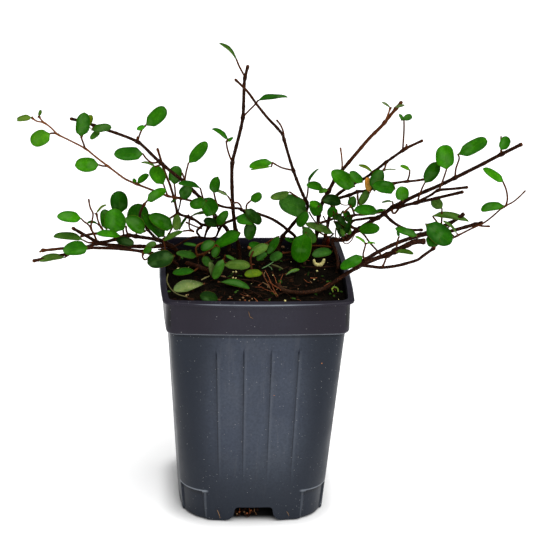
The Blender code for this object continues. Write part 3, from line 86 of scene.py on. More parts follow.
# Each stem is its thickness at base and tip, where its root shows, and its points. Each leaf is its colour,
# base, tip, width, depth past the stem, lean, roll, and the places that its stalk runs through.
VINES = {
    "vine_tall": ((
        (1.6, 1.2, (-7.2, 4.2), ((-7.4, 8.5, 26), (-8.4, 14, 25.5), (-9.3, 19, 25), (-9.8, 23, 24),
            (-10.3, 28, 23), (-10.7, 36, 21.5), (-10.9, 44, 20), (-10.6, 50.5, 18.5), (-9.2, 56.5, 17),
            (-7, 65, 15), (-5.6, 72, 13.5), (-5.2, 80, 12), (-5, 87, 11), (-4.6, 91, 10.5),
            (-3.1, 97, 9.5))),
    ), (
        ("olive", (-9, 100.2), (-16.9, 107.4), 4.4, -2, -3, 68, ((-4.8, 91.5), (-7.2, 96.3))),
        ("dark", (2.2, 80.2), (15.3, 81.9), 5, -3, -3, 62, ((-5.5, 72.3), (-3, 75), (0, 78))),
        ("mid", (-13.2, 61.9), (-20, 66.3), 4.4, -3, -2, 58, ((-10.7, 50.5), (-12.3, 54.5), (-13.5, 59.8))),
        ("mid", (-13, 60.6), (-10.4, 62.4), 1.6, 0, 2, 0, ()),
        ("mid", (-7.4, 16.4), (-19.4, 10), 6.4, -3, -2, 24, ((-9, 17.6),)),
    )),
    "vine_upper_left": ((
        (1.6, 1.1, (-12.3, 8.4), ((-12.5, 12.5, 37), (-12.8, 17.5, 34), (-15, 20.3, 31.5), (-17.6, 21.4, 30),
            (-18.6, 23.8, 28.5), (-20, 26.7, 26), (-24.5, 32, 21), (-29, 36.5, 17), (-33.5, 41, 14),
            (-38, 44.5, 12), (-43.5, 49, 10), (-48.5, 53.5, 7), (-52, 57, 5), (-56, 60.3, 3),
            (-64, 63.7, -1), (-75, 67.4, -6), (-81.5, 69.8, -9), (-88.4, 71.5, -12))),
        (1, 0.8, None, ((-56, 60.3, 3), (-56.2, 62.9, 2.5))),
        (0.8, 0.8, None, ((-33.4, 41, 14), (-34, 43.5, 13), (-34.8, 45.5, 12.5))),
    ), (
        ("mid", (-51.9, 68.6), (-43.2, 76.4), 6.4, -2, 4, -14, ((-55.6, 60.6), (-55.2, 63.5), (-53.6, 67))),
        ("bright", (-52.6, 67.7), (-56.3, 66.3), 2.2, -3, -1, 20, ((-53.6, 67),)),
        ("mid", (-54.1, 54.6), (-66.9, 54.2), 6.3, -3, -4, 20, ((-46, 50.2), (-49, 50.3), (-51.6, 52))),
        ("mid", (-31.4, 50.4), (-23.1, 59.8), 5.6, 0, 4, -18, ((-33.2, 41.4), (-32.8, 45.8))),
        ("grey", (-47.8, 48.5), (-54.1, 50.2), 3.6, 3, 2, 72, ((-44.5, 49.5),)),
        ("soft", (-77.6, 66.1), (-69, 67.4), 3.9, -3, -1, 24, ()),
        ("soft", (-74.4, 65.6), (-78.6, 61.9), 2.7, -3, -2, -10, ()),
        ("mid", (-19.9, 25.6), (-24.3, 33), 7.6, -11, -2, 14, ((-19, 24.6),)),
        ("mid", (-23.4, 32), (-30.8, 30.2), 5.2, -8, 0, -16, ((-22.4, 32.6),)),
    )),
    "vine_young": ((
        (1.3, 0.7, (20.6, 7.6), ((20.3, 11.5, 35), (19.4, 15, 34.5), (16.3, 17.7, 33), (12.5, 20.8, 31.5),
            (8, 23.5, 30), (3, 25.4, 28), (0, 26, 26.5), (-3.5, 26, 24.5), (-7, 28.2, 21), (-10, 28.6, 19.5),
            (-14, 29, 19.5), (-20, 30.6, 18.5), (-29, 31.8, 16), (-35, 33.2, 12.5), (-41, 34.2, 11),
            (-48, 36.8, 9), (-57, 40.3, 6), (-62, 42.5, 4.5), (-65.5, 45, 3.5), (-71, 49.2, 2), (-76, 53, 0),
            (-81, 57, -1.5), (-90, 61.7, -4), (-94.5, 64, -5), (-97.5, 67, -6), (-101, 69.5, -7),
            (-104.5, 70.3, -8), (-107, 72, -9))),
        (0.7, 0.7, None, ((-101, 69.5, -7), (-102.6, 71.3, -7.5), (-103.4, 72.9, -8))),
        (1.2, 1, None, ((-3.5, 26, 24.5), (-7, 24.6, 27.5), (-10, 23.1, 28.2), (-13, 21.9, 27.5),
            (-17, 20.6, 26.5), (-22, 20.3, 26), (-25.5, 20.8, 25), (-28, 22.5, 24), (-31, 24, 23),
            (-36.7, 26, 21), (-37.4, 28, 20), (-38.2, 31.5, 19), (-40.5, 39.5, 18), (-42.5, 44.5, 17),
            (-44.2, 49.5, 16), (-46.6, 57.2, 14))),
        (1, 0.8, None, ((-36.7, 26, 21), (-39, 24.7, 21.5), (-41, 23.4, 22), (-44, 21.5, 22.5))),
        (0.8, 0.8, None, ((-31, 24, 23), (-31.4, 21, 22), (-31, 18.6, 21), (-29.4, 17.4, 20.5))),
        (0.8, 0.8, None, ((-25.6, 18.9, 25), (-28.5, 19.8, 23), (-30.9, 20.9, 21), (-32.9, 21.8, 19.5))),
        (0.8, 0.8, None, ((-6.4, 27.8, 21.5), (-6.6, 29.6, 19), (-8.2, 31.2, 17.5), (-9.9, 31, 16.5))),
        (0.9, 0.8, None, ((-22.2, 20.3, 26), (-23.2, 17.5, 27.5), (-23.9, 14.6, 29))),
        (0.9, 0.8, None, ((-15.3, 21.1, 27), (-16.6, 18.3, 29), (-18, 15.9, 31))),
    ), (
        ("lime", (-107.2, 71.9), (-113.9, 70.4), 3.6, 0, -2, 44, ()),
        ("olive", (-103.4, 72.8), (-102.5, 75.6), 1.4, 0, 1, 0, ()),
        ("light", (-98.3, 64.2), (-106.7, 59.8), 7, -1, -3, 16, ((-94.3, 63.8), (-96.2, 64.5))),
        ("mid", (-83.2, 63.2), (-81.8, 74.1), 6.2, -12, -2, -16, ((-81.1, 57.2), (-82.4, 60.5))),
        ("lime", (-80.2, 68.4), (-78.3, 73), 3.2, 2.5, 1, 10, ((-83, 62.6),)),
        ("bright", (-75.1, 49.3), (-85.6, 49.1), 6.6, -2, -4, 18, ((-70.4, 48.4), (-73, 48.8))),
        ("bright", (-43.8, 40.2), (-48.4, 48.3), 6.6, 1, 3, -12, ((-41.6, 34.4), (-42.7, 37.2))),
        ("mid", (-38.4, 40.2), (-37.2, 48.5), 6, 5, 2, 8, ((-37.9, 33.8), (-38.1, 37))),
        ("dark", (-35.3, 33.6), (-30.6, 38.6), 5.6, -2, -2, 10, ()),
        ("dark", (-26.4, 38.2), (-36, 40.2), 4.8, -6, -3, 60, ((-24.2, 31.2), (-25.2, 35))),
        ("grey", (-29.8, 24.8), (-23.6, 26.1), 3.4, -5, -3, 72, ()),
        ("mid", (-19.4, 36.3), (-17.7, 43.3), 4.8, -3, -2, 14, ((-17.8, 30), (-18.8, 33))),
        ("soft", (-37.7, 32.7), (-40.1, 31.3), 1.2, -1, 0, 30, ()),
        ("pale", (-12.9, 34.3), (-18.4, 36.6), 3.2, -3, -1, 64, ((-10.8, 28.9), (-11.4, 32))),
        ("mid", (-1.7, 32.2), (3.1, 35.3), 4.2, 0, 2, -12, ((-3.6, 26.4), (-3.8, 30))),
        ("mid", (0.8, 23), (-8, 23), 5.4, -6, -3, 18, ((0.6, 25.6),)),
        ("deep", (-4.6, 27.6), (2.8, 21.6), 5.2, -4, 1, 26, ((-4.2, 26.4),)),
        ("dark", (-1.2, 21.5), (-2.4, 13.7), 5.8, -3, -4, 14, ((0.4, 25.4),)),
        ("grey", (-36.8, 25.5), (-37.6, 18.2), 3.9, -1, -2, 8, ()),
        ("dark", (-31.8, 25), (-36, 18.4), 1.6, 1, 0, 40, ()),
        ("olive", (-34.4, 17.4), (-43.3, 13.2), 2.7, -4, -3, 30, ((-28.1, 17.4), (-31.6, 17.8))),
        ("mid", (-55.9, 40.6), (-50.8, 44.4), 3.2, -1, -1, 24, ()),
        ("mid", (-56.7, 41), (-58.3, 42.5), 1.5, -1, 1, 0, ()),
        ("deep", (-18, 20.6), (-24.2, 22.4), 4.6, -4, -2, 30, ()),
        ("mid", (-17.6, 20.8), (-13.2, 26.8), 4.2, -6, -3, 8, ()),
    )),
    "vine_arching": ((
        (1.5, 1, (11.6, 8.6), ((12.3, 12, 38), (13.5, 15, 37.8), (16.3, 18.3, 37.2), (20, 22.8, 35.5),
            (22.5, 25.3, 34), (25, 28, 32), (25.4, 30, 31), (24.4, 32.4, 30), (21.5, 39, 26), (18.5, 47, 22),
            (16, 55, 18), (14.3, 61, 15.5), (13.3, 63.9, 14.5), (10.5, 67.4, 13), (7, 71, 11.5),
            (4, 74.6, 10), (1, 78.4, 8.5), (-1.5, 82, 7), (-4.2, 85.4, 6), (-9.4, 90.4, 4.5))),
        (0.9, 0.8, None, ((14.2, 61.5, 15.3), (13.8, 65, 15), (12.5, 68.4, 15), (10.5, 70.9, 15))),
    ), (
        ("bright", (8.2, 50.3), (-2, 48.4), 4.8, -4, -3, 44, ((18.5, 46.6), (13, 48))),
        ("light", (7.7, 48.4), (-1.6, 47), 1.3, -5, 0, 20, ()),
        ("dark", (26, 40.8), (30.4, 47.4), 3.6, -2, 2, 72, ((24.6, 31.8), (25.5, 36))),
        ("soft", (24.4, 26.5), (12.4, 32.2), 9.2, -5, -4, 12, ()),
        ("grey", (16.6, 36.2), (8, 33.8), 4.2, -8, -3, -34, ((24.4, 31.4), (20, 34.2))),
        ("dark", (25.2, 26.8), (21.2, 20), 5, -5, -3, 20, ()),
        ("dark", (19.2, 12.4), (15, 14), 2.4, -6, -2, 20, ((13.6, 15),)),
    )),
    "vine_upper_right": ((
        (1.65, 1.2, (28.6, 8.2), ((29, 12, 35.5), (30, 17, 35), (30.5, 22, 34), (31, 27, 32), (33, 32, 30),
            (36, 37.5, 27), (39, 43, 24), (43.5, 48.5, 20), (49, 55, 16), (55, 62, 12), (61, 68, 9),
            (65.5, 73.5, 7), (70.6, 79.6, 4))),
        (0.8, 0.8, None, ((62.5, 70, 8.5), (64, 73.4, 7), (65.3, 77, 6))),
        (0.8, 0.8, None, ((38.6, 42.4, 24.3), (41, 45, 26), (42, 48.5, 26.5), (41.8, 53, 27),
            (41.2, 57.6, 27.5))),
    ), (
        ("pale", (64.9, 76.8), (61.2, 79.3), 1.2, 0, 1, 30, ()),
        ("pale", (67.6, 76.8), (71.8, 77.9), 1.4, -2, -1, 30, ()),
        ("mid", (32.2, 38.2), (25.3, 39.7), 3.9, -3, -3, 10, ((33.6, 33.4), (34, 36))),
        ("light", (35, 37.4), (31, 36.2), 2.2, -2, 1, 20, ()),
        ("mid", (31.3, 25.4), (27.6, 31.3), 6, -6, -2, 12, ()),
        ("bright", (30.3, 29.6), (26.6, 31.4), 2.8, -8, -2, 10, ()),
        ("deep", (32.8, 32.4), (41, 30.8), 5.6, -6, -4, 26, ()),
        ("grey", (37.4, 16.4), (25, 20.7), 4, -6, -1, 26, ((30.4, 17.6), (35.5, 14.8))),
    )),
    "vine_right": ((
        (1.4, 1.1, (32.4, 7), ((33.2, 12, 33), (34.6, 18, 35), (35.8, 24, 35.5), (37.2, 29, 35),
            (38.5, 33.4, 34), (41, 36, 33), (44, 38, 31.5), (48, 40.5, 30), (53, 43, 28.5), (57, 45.8, 27),
            (63, 50.5, 25), (70.5, 55.8, 22), (73, 57.4, 21.5), (80.8, 61.1, 20))),
        (1.3, 1, None, ((38.4, 33, 34.2), (41.3, 33.6, 31.5), (46, 35, 29), (49.5, 36.4, 28), (53, 36.8, 27),
            (58, 38.3, 25), (65, 40, 22), (70, 41, 20), (77, 41.7, 18), (81.6, 42.4, 16))),
        (0.9, 0.8, None, ((63, 50.4, 25), (62.6, 48, 24), (61.5, 46.4, 23.5))),
        (0.8, 0.8, None, ((72.6, 57.2, 21.6), (73, 59.3, 21))),
    ), (
        ("soft", (71.6, 70.6), (69.4, 73.5), 1.7, 0, -1, 20, ((71, 56.2), (71.4, 61), (71.7, 66.5))),
        ("soft", (71.2, 71.2), (75.4, 72.8), 2.9, 0, 2, 0, ()),
        ("mid", (47.6, 39.2), (37.4, 45.6), 7.4, -10, -4, 16, ()),
        ("mid", (51.4, 41.2), (45.8, 45.9), 4.2, -12, -3, 8, ()),
        ("lime", (56.4, 46), (50, 49.1), 3.4, -1, 2, 64, ()),
        ("mid", (57.6, 37.2), (60.6, 46.4), 6.4, -4, -1, 14, ()),
        ("mid", (66.9, 37.8), (57.2, 39.4), 6, -7, -4, 16, ()),
        ("lime", (61.7, 46.4), (67.9, 46.8), 1.8, 0, 1, 72, ()),
        ("light", (74.3, 46.9), (70, 48.5), 2.4, -2, -2, 45, ((73.2, 41.4), (74.2, 44.2))),
        ("straw", (54.8, 36.6), (54.2, 43), 3.4, -4, 1, 20, ()),
        ("mid", (46.4, 29), (47.6, 34), 4, -3, -2, 10, ((45.4, 34.6),)),
        ("olive", (50.6, 30.2), (54.4, 36.6), 3.8, -6, 2, 14, ((49.6, 36.2), (49.4, 33))),
        ("mid", (38.4, 28.9), (36.2, 24.4), 4.6, -7, -2, 10, ((37.6, 30),)),
    )),
    "vine_thick": ((
        (1.1, 1.5, (39.5, -2.2), ((40, 0.6, 6), (39.8, 4, 12), (38.7, 8.3, 19), (37.2, 12, 25),
            (37.6, 13.6, 27.5), (40, 13.2, 28.5))),
        (1.6, 1.3, None, ((37.6, 13.6, 27.5), (40, 13.2, 28.5), (43, 13.8, 28.3), (46.5, 16.2, 27.8),
            (49.6, 18.1, 27), (53, 20.5, 26), (57, 22.8, 25), (60, 24.4, 24), (63, 26.6, 22.5),
            (66.3, 29, 21), (70, 31, 19), (79, 35.3, 15), (89, 39.6, 11), (96, 43, 8), (104, 47, 5),
            (110, 50, 2), (116, 53.2, -1), (119, 54.7, -2), (128.3, 59.3, -6))),
        (1.3, 1.2, None, ((66.3, 29, 21), (70.5, 29.3, 18), (73, 30.1, 16.5), (77, 31, 14), (85, 32.8, 10),
            (90, 34, 8), (100.2, 36.4, 4))),
        (1.1, 1.1, None, ((77.6, 31.2, 13.8), (81, 33, 11.5), (84.5, 34.8, 9.5), (87.6, 36.9, 7.5),
            (89.7, 37.4, 6.5), (95, 37.8, 4), (102.4, 38.6, 1))),
        (1, 0.9, None, ((69.4, 29, 18.8), (67.6, 26.3, 17.5), (66.4, 26.2, 17), (65.8, 28, 17))),
        (1.2, 1, None, ((59, 24, 24.3), (55, 23.8, 25.5), (51, 23.2, 26.5), (47.6, 22.6, 27.5),
            (45.1, 20.4, 28))),
        (1, 0.9, None, ((49.8, 18.3, 27), (46.6, 19.8, 27.6), (45.2, 22, 28), (47.6, 25, 28), (52, 25.3, 27),
            (58, 26.2, 25.5), (62.2, 27.2, 23))),
        (0.9, 0.8, None, ((48, 25, 28), (47.2, 27.6, 27.5), (46.6, 29.2, 27))),
        (0.9, 0.9, None, ((49.8, 18.2, 27), (52.5, 15.8, 24), (55, 12.4, 20), (58, 9, 15), (60.4, 6.5, 10))),
        (0.9, 0.8, None, ((42.8, 14, 28), (44.2, 12.9, 26), (46.4, 14.6, 26), (49, 17.6, 27))),
        (1.3, 1.1, None, ((62.6, 25.6, 22.8), (65.5, 22.6, 21), (69.5, 19.9, 19), (74, 18.2, 17),
            (80.8, 18.1, 15))),
    ), (
        ("bright", (92, 47.4), (91.2, 58.4), 8.4, -1, 3, -14, ((88.4, 37.2), (90.2, 41.5), (91.4, 45))),
        ("mid", (98, 54.6), (110.6, 61.3), 6.2, -3, 4, -16, ((96, 43.4), (96.6, 47.5), (98.2, 52.5))),
        ("dark", (81.8, 40.8), (87.9, 49.9), 6.2, -3, 2, 16, ((78, 31.6), (79.2, 35), (80.6, 38.6))),
        ("mid", (118.2, 56.6), (121.2, 62.6), 4.6, -1, 1, -10, ((118.4, 54.6),)),
        ("dead", (118.6, 58), (118.2, 63.2), 1, 1, 1, 0, ((118.4, 56),)),
        ("bright", (71, 32.3), (70.3, 38.8), 6.2, -5, -2, 10, ((71.5, 31.2),)),
        ("mid", (50.2, 18.2), (59.6, 18.8), 5.4, -5, -3, 18, ()),
        ("mid", (58.6, 26.6), (48.3, 27.6), 5, -5, -4, 20, ((60, 26.6),)),
        ("grey", (66, 31.6), (61.4, 31), 2.8, -3, -1, 70, ((66.4, 29.6),)),
        ("dark", (62.4, 27.8), (56.4, 25.8), 1.7, -6, -2, 30, ()),
        ("deep", (39.1, 25.8), (41.5, 22.9), 3, -2, -2, 20, ()),
        ("dark", (42.5, 27.2), (43.4, 24.3), 2.6, -1, -2, 50, ()),
        ("deep", (41, 21.9), (43.9, 20), 2.8, -3, -2, 35, ()),
        ("deep", (38.1, 21.9), (39.6, 18.8), 2.6, -1, -2, 60, ()),
        ("olive", (43.9, 19.5), (45.8, 16.2), 3, -2, -2, 15, ()),
        ("olive", (41.5, 19), (42.5, 15.2), 2.8, -3, -2, 40, ()),
        ("dark", (37.7, 24.8), (39.8, 22.9), 2.2, -1, -2, 30, ()),
        ("deep", (44.9, 24.8), (46.3, 21.9), 2.2, -2, -2, 55, ()),
        ("deep", (43.6, 20.4), (38.6, 25.2), 2.8, -4, -2, 20, ()),
        ("deep", (44.4, 18.8), (39.2, 18.6), 2.5, -3, 2, 30, ()),
        ("deep", (45, 21.6), (44.2, 27.2), 2.9, -4, 2, 10, ()),
        ("deep", (43.8, 16.6), (45.6, 21.8), 2.7, -5, -3, 10, ((44.2, 14.8),)),
        ("deep", (42.2, 14.6), (39.4, 21.6), 2.8, -4, -2, 14, ()),
    )),
    "vine_trailing": ((
        (1.6, 1.4, (10.4, -9.2), ((14, -10.8, S), (19, -11.9, S), (24, -12, S), (29, -11.2, S),
            (33.5, -9.9, -20.5), (37, -7.9, -20), (40.5, -5.4, -19), (44, -3, -17.5), (47.5, -0.8, -15.5),
            (50.5, 1.4, -13.5), (53, 3.6, -11.5), (56, 5.6, -9.5), (59, 7.4, -8), (66, 10.8, -4),
            (72, 13.2, -1), (78, 15.2, 2), (83, 17, 5), (88, 19, 8), (93, 21, 10), (97, 23.3, 11),
            (100.6, 26, 12))),
        (1.5, 2.1, None, ((49, 0.3, -14.5), (52, 1.8, -13.8), (56, 3.4, -13), (60, 5, -12), (64, 6.2, -12.5),
            (68, 8.3, -13), (73, 10.7, -13.5), (77, 12.4, -13.5), (82, 12.6, -13.5))),
        (1.5, 1.3, None, ((79.6, 15.8, 2.8), (84, 16, 1), (88, 16.3, -1), (92, 17, -2), (97, 18.3, -3),
            (103, 20, -4), (109.6, 21.6, -5.5))),
        (0.9, 0.8, None, ((106, 20.7, -4.6), (109, 20, -5.5), (113, 19.8, -6))),
        (0.9, 0.7, None, ((86.5, 16.2, -0.4), (90, 13.6, -4), (94, 13.8, -6.5), (98, 15.7, -8),
            (104, 18.7, -8.5), (107.3, 20.2, -8.5), (110, 21.5, -9), (114, 24.5, -10), (118, 28, -11),
            (120.5, 29.7, -11.5), (124, 31.5, -12), (127, 34, -12.5), (130, 37, -13))),
        (1.25, 1.15, None, ((50.2, 1.2, -13.8), (55, 0.7, -14.5), (60, 0.1, -15), (65, 0.4, -16.5),
            (70, 1.3, -17.5), (75, 2.7, -18), (78.5, 3.9, -18.5), (81, 5.8, -18.5), (86.4, 9.6, -17.5))),
        (0.9, 0.8, None, ((63.6, 6, -12.5), (62.2, 2.2, -15), (61.2, 0.3, -15.6))),
        (0.9, 0.8, None, ((94, 20.6, 10), (92.6, 18.4, 6), (95.6, 15, -3), (96.2, 14.8, -7))),
    ), (
        ("mid", (51.6, 5.2), (41.8, -0.1), 5, -5, -3, 20, ()),
        ("light", (53.2, 11.6), (48.6, 14.9), 2.6, -1, 1, 64, ((52.6, 3.8), (52.1, 6.2), (53, 10))),
        ("light", (54, 11.6), (57.9, 11.7), 2, -1, 1, 62, ()),
        ("mid", (77.6, 15.3), (67.8, 18.6), 3.5, -6, 0, 20, ()),
        ("dark", (69.3, 15), (68.5, 17.6), 1.4, -1, 1, 20, ((67.6, 8.2), (68.2, 10.2), (68.7, 13.2))),
        ("olive", (68, 7.4), (76, 7), 3.6, -3, 1, 54, ()),
        ("grey", (89.8, 28.4), (85.8, 33.4), 5.2, 3, 2, -22, ((89.4, 20), (89.8, 24), (89.8, 26.6))),
        ("olive", (86, 24.6), (102, 22.1), 5.6, 0, 3, 58, ((88.6, 19.8), (87.4, 22))),
        ("dark", (82.6, 20.6), (94, 12.2), 9, -15, -4, 14, ()),
        ("dark", (86.4, 9.7), (84.6, 15.6), 6, 3, 3, 8, ()),
        ("olive", (97, 16.4), (90.6, 22), 3, -4, -2, 68, ()),
        ("bright", (119.4, 29.4), (109, 27.8), 4.6, -1, 2, 30, ()),
        ("bright", (118.8, 41.4), (109.8, 47.3), 3.9, -2, -3, 24, ((120.5, 29.8), (121.3, 33),
            (120.7, 37.4))),
    )),
    "vine_left": ((
        (1.8, 1.2, (-36.4, 4.4), ((-37.4, 8.2, 22.5), (-40, 10.3, 20.5), (-43, 10.9, 19), (-46, 10.3, 18),
            (-50, 10.1, 17), (-56, 10.2, 15.5), (-62, 10.3, 14), (-68, 10.7, 12.5), (-73, 11.3, 11),
            (-75.6, 12.1, 10), (-78, 13.7, 9), (-84, 17.1, 6), (-87.4, 19.1, 4))),
        (1.4, 1.2, None, ((-40, 10.3, 20.5), (-43.5, 12.5, 20.5), (-46, 13.3, 20.5), (-50, 14, 20),
            (-57, 15, 18.5), (-60.4, 15.5, 17.5), (-64, 14.4, 16), (-67, 13.6, 14.5), (-70, 12.7, 13),
            (-74.4, 11.9, 10.5), (-79, 10.5, 8), (-84, 8.6, 5), (-89.5, 6.7, 2), (-96, 5.2, -1),
            (-106.4, 3.2, -5))),
        (1.2, 1, None, ((-64, 14.4, 16), (-68, 15.6, 15), (-73, 16.2, 14), (-77, 16.3, 13),
            (-83.6, 15, 11))),
        (1.2, 1, None, ((-46.8, 13.5, 20.4), (-48.6, 15.3, 18.5), (-51.5, 18.6, 15.5), (-54, 22, 12.5),
            (-55, 25.2, 10), (-54.2, 28, 8.5), (-52.6, 30.8, 7.5))),
        (1, 0.8, None, ((-60.4, 15.5, 17.5), (-61.4, 17.6, 16), (-61.6, 20, 15))),
        (0.9, 0.8, None, ((-71.6, 16, 14.2), (-72.4, 17.6, 13), (-74, 20, 12), (-75.2, 23, 11.5),
            (-75.8, 26, 11))),
        (0.9, 0.8, None, ((-75.4, 12.2, 10), (-77, 16, 9), (-78.5, 19.2, 8), (-77.9, 22.5, 8),
            (-77.5, 26, 8), (-78.8, 28.8, 8), (-79.6, 33, 8))),
    ), (
        ("lime", (-75.8, 26.2), (-71.2, 30.1), 2.4, 0, 2, 66, ()),
        ("bright", (-83.6, 23.6), (-94.3, 24.4), 5.2, -2, -4, 16, ((-78.6, 19.2), (-80.2, 21), (-82, 22.3))),
        ("dark", (-75.4, 21), (-80, 21.6), 2.6, -1, -1, 66, ((-73.6, 19.4),)),
        ("mid", (-71, 18.4), (-72, 27.6), 5.2, 0, 3, 12, ((-71.6, 16.4),)),
        ("bright", (-66.8, 17.2), (-66.8, 28), 9.8, -5, -2, 12, ((-66.4, 15.4),)),
        ("dark", (-64.6, 26.4), (-65, 36.4), 8, 0, 3, -10, ((-62.8, 15.2), (-63.4, 21))),
        ("dark", (-56.4, 17.6), (-55.6, 30.2), 9.8, 0, 4, -8, ((-57, 15.2),)),
        ("mid", (-53.2, 17.4), (-61.6, 23.4), 7, -8, -4, 20, ((-51.4, 18.4),)),
        ("mid", (-39.8, 19.6), (-50.4, 24.4), 6.8, -4, -5, 20, ((-43.6, 12.6), (-41, 16.4))),
        ("dark", (-43.6, 15.2), (-53, 24.6), 6.6, -4, -4, 24, ()),
        ("bright", (-51.2, 32.2), (-42.8, 37.2), 4.6, 0, -4, 22, ((-52.6, 30.8),)),
        ("bright", (-64.4, 15.2), (-75.2, 16.2), 3.8, -8, -5, 30, ()),
        ("olive", (-82.8, 13.3), (-95.8, 14.8), 5, -4, -4, 50, ((-76.2, 12.2), (-79.5, 12))),
        ("grey", (-91.4, 4.9), (-102.8, 3.1), 4.8, -4, -4, 50, ((-87, 7.4),)),
        ("deep", (-66.4, 13.2), (-58.2, 11.6), 4.2, -5, -2, 20, ()),
        ("deep", (-40, 15.4), (-43.8, 12.4), 2.2, 3, 1, 30, ()),
    )),
    "vine_low_left": ((
        (1.4, 1.1, (-36.8, -0.6), ((-38.6, 2.4, 6), (-42, 4.7, 3), (-45, 5.5, 2), (-48.5, 6.5, 2),
            (-53, 7.6, 2.5), (-60, 8.6, 3), (-67, 9.2, 3), (-79, 9.5, 2), (-92, 9.2, 0), (-98, 8.6, -1),
            (-102.4, 8.2, -2))),
        (0.8, 0.8, None, ((-49.4, 6.8, 2), (-51, 4.6, -1), (-52.6, 3.8, -2), (-53.7, 5.2, -2.5),
            (-53.3, 7.2, -3))),
    ), (
        ("deep", (-38.9, 5.6), (-50.8, 2.4), 7.8, -9, -4, 16, ()),
        ("mid", (-80.4, 9.7), (-91.2, 8.1), 6.6, -3, -5, 16, ()),
        ("mid", (-53.2, 7.4), (-49.4, 8.8), 3, 0, -1, 20, ()),
        ("olive", (-52.2, 9.6), (-47.4, 11.8), 2.8, -2, 2, 20, ((-53.2, 7.8),)),
        ("dead", (-102.2, 8.2), (-103.2, 7.4), 0.9, 0, 0, 0, ()),
    )),
    "sprig_left": ((
        (1, 0.7, (-27.2, 2.4), ((-27.6, 6, 15), (-28, 9.6, 14), (-25.6, 11.6, 14), (-20.6, 13, 14.5))),
        (0.9, 0.8, None, ((-27.6, 6, 15), (-24.4, 6.6, 13), (-21, 8.8, 12), (-18.4, 10.8, 12))),
    ), (
        ("soft", (-28.2, 5.4), (-37, 7), 3.5, -3, -3, 25, ()),
        ("soft", (-24.2, 5.3), (-22.2, 0.9), 3.8, -2, -3, 14, ()),
        ("dark", (-19.4, 12.4), (-25.2, 8.6), 4.6, -3, -3, 20, ()),
        ("dark", (-17.2, 9.8), (-19.6, 5.2), 3.8, -2, -2, 20, ()),
        ("dark", (-27.6, 10.4), (-33.8, 11.4), 1.8, 0, 2, 40, ()),
    )),
    "sprig_front_left": ((
        (1.8, 1.6, (-20.2, -4.6), ((-20.6, -2.2, -1), (-24, -0.8, 2), (-28.2, 0.8, 4), (-32.7, 2.2, 7))),
        (1, 0.8, None, ((-21, -2, -0.8), (-18.6, -0.6, -2), (-16.6, 1.6, -1), (-14.6, 3.8, 0))),
    ), (
        ("dark", (-29.2, -1.6), (-38.8, -2.6), 3.6, -3, -2, 25, ((-26.6, 0.2),)),
        ("soft", (-15.2, 3.8), (-19.4, -5), 4.1, -4, -4, 10, ()),
        ("soft", (-13.9, 5.9), (-9.8, 3.9), 1.5, -1, -1, 20, ()),
        ("pale", (-19.6, -4.2), (-21.6, 2.6), 3, -1, -2, 20, ()),
        ("grey", (-14.4, 1.2), (-2.6, 1), 4.4, -2, -1, 16, ()),
    )),
    "sprig_middle": ((
        (1.1, 0.8, (-1, -6.2), ((-1.2, -3.4, -3), (-1.6, 1, 1.5), (-1.8, 5, 7), (0.8, 9.4, 14),
            (5.6, 11.4, 19))),
    ), (
        ("lime", (3.6, -2.6), (-4.4, -3.4), 4, -4, -2, 30, ((-1.3, -1.6),)),
        ("grey", (6.3, 10.8), (-2.2, 5.7), 4.3, -5, -4, 14, ()),
        ("dark", (4.6, 8.6), (-2.4, 11.2), 3.6, -2, -3, 14, ()),
        ("dark", (11.6, 14.8), (6.6, 7), 3.8, -1, -3, 14, ((4.9, 11.2), (9, 13.8))),
        ("dark", (5.8, 7.2), (1.4, 3.6), 3.4, -3, -3, 20, ((4.6, 10.8),)),
    )),
    "sprig_right": ((
        (1.3, 1, (24, 2.2), ((24.2, 5.4, 25), (24.6, 11, 27), (24.8, 16.4, 27), (23.4, 19.4, 26))),
    ), (
        ("mid", (24.6, 16.2), (21.6, 3), 9.4, -8, -6, 18, ()),
        ("soft", (23.4, 19.4), (28.8, 12.4), 4.8, -3, -3, 14, ()),
        ("soft", (37.2, 7.6), (28.2, 6.2), 4.4, -6, -4, 20, ((24.6, 10.4), (33, 10.4), (37.6, 9.4))),
        ("soft", (13.2, 6.8), (7.8, 4), 4.2, -7, -3, 20, ((24.3, 7), (18, 7.4))),
    )),
}

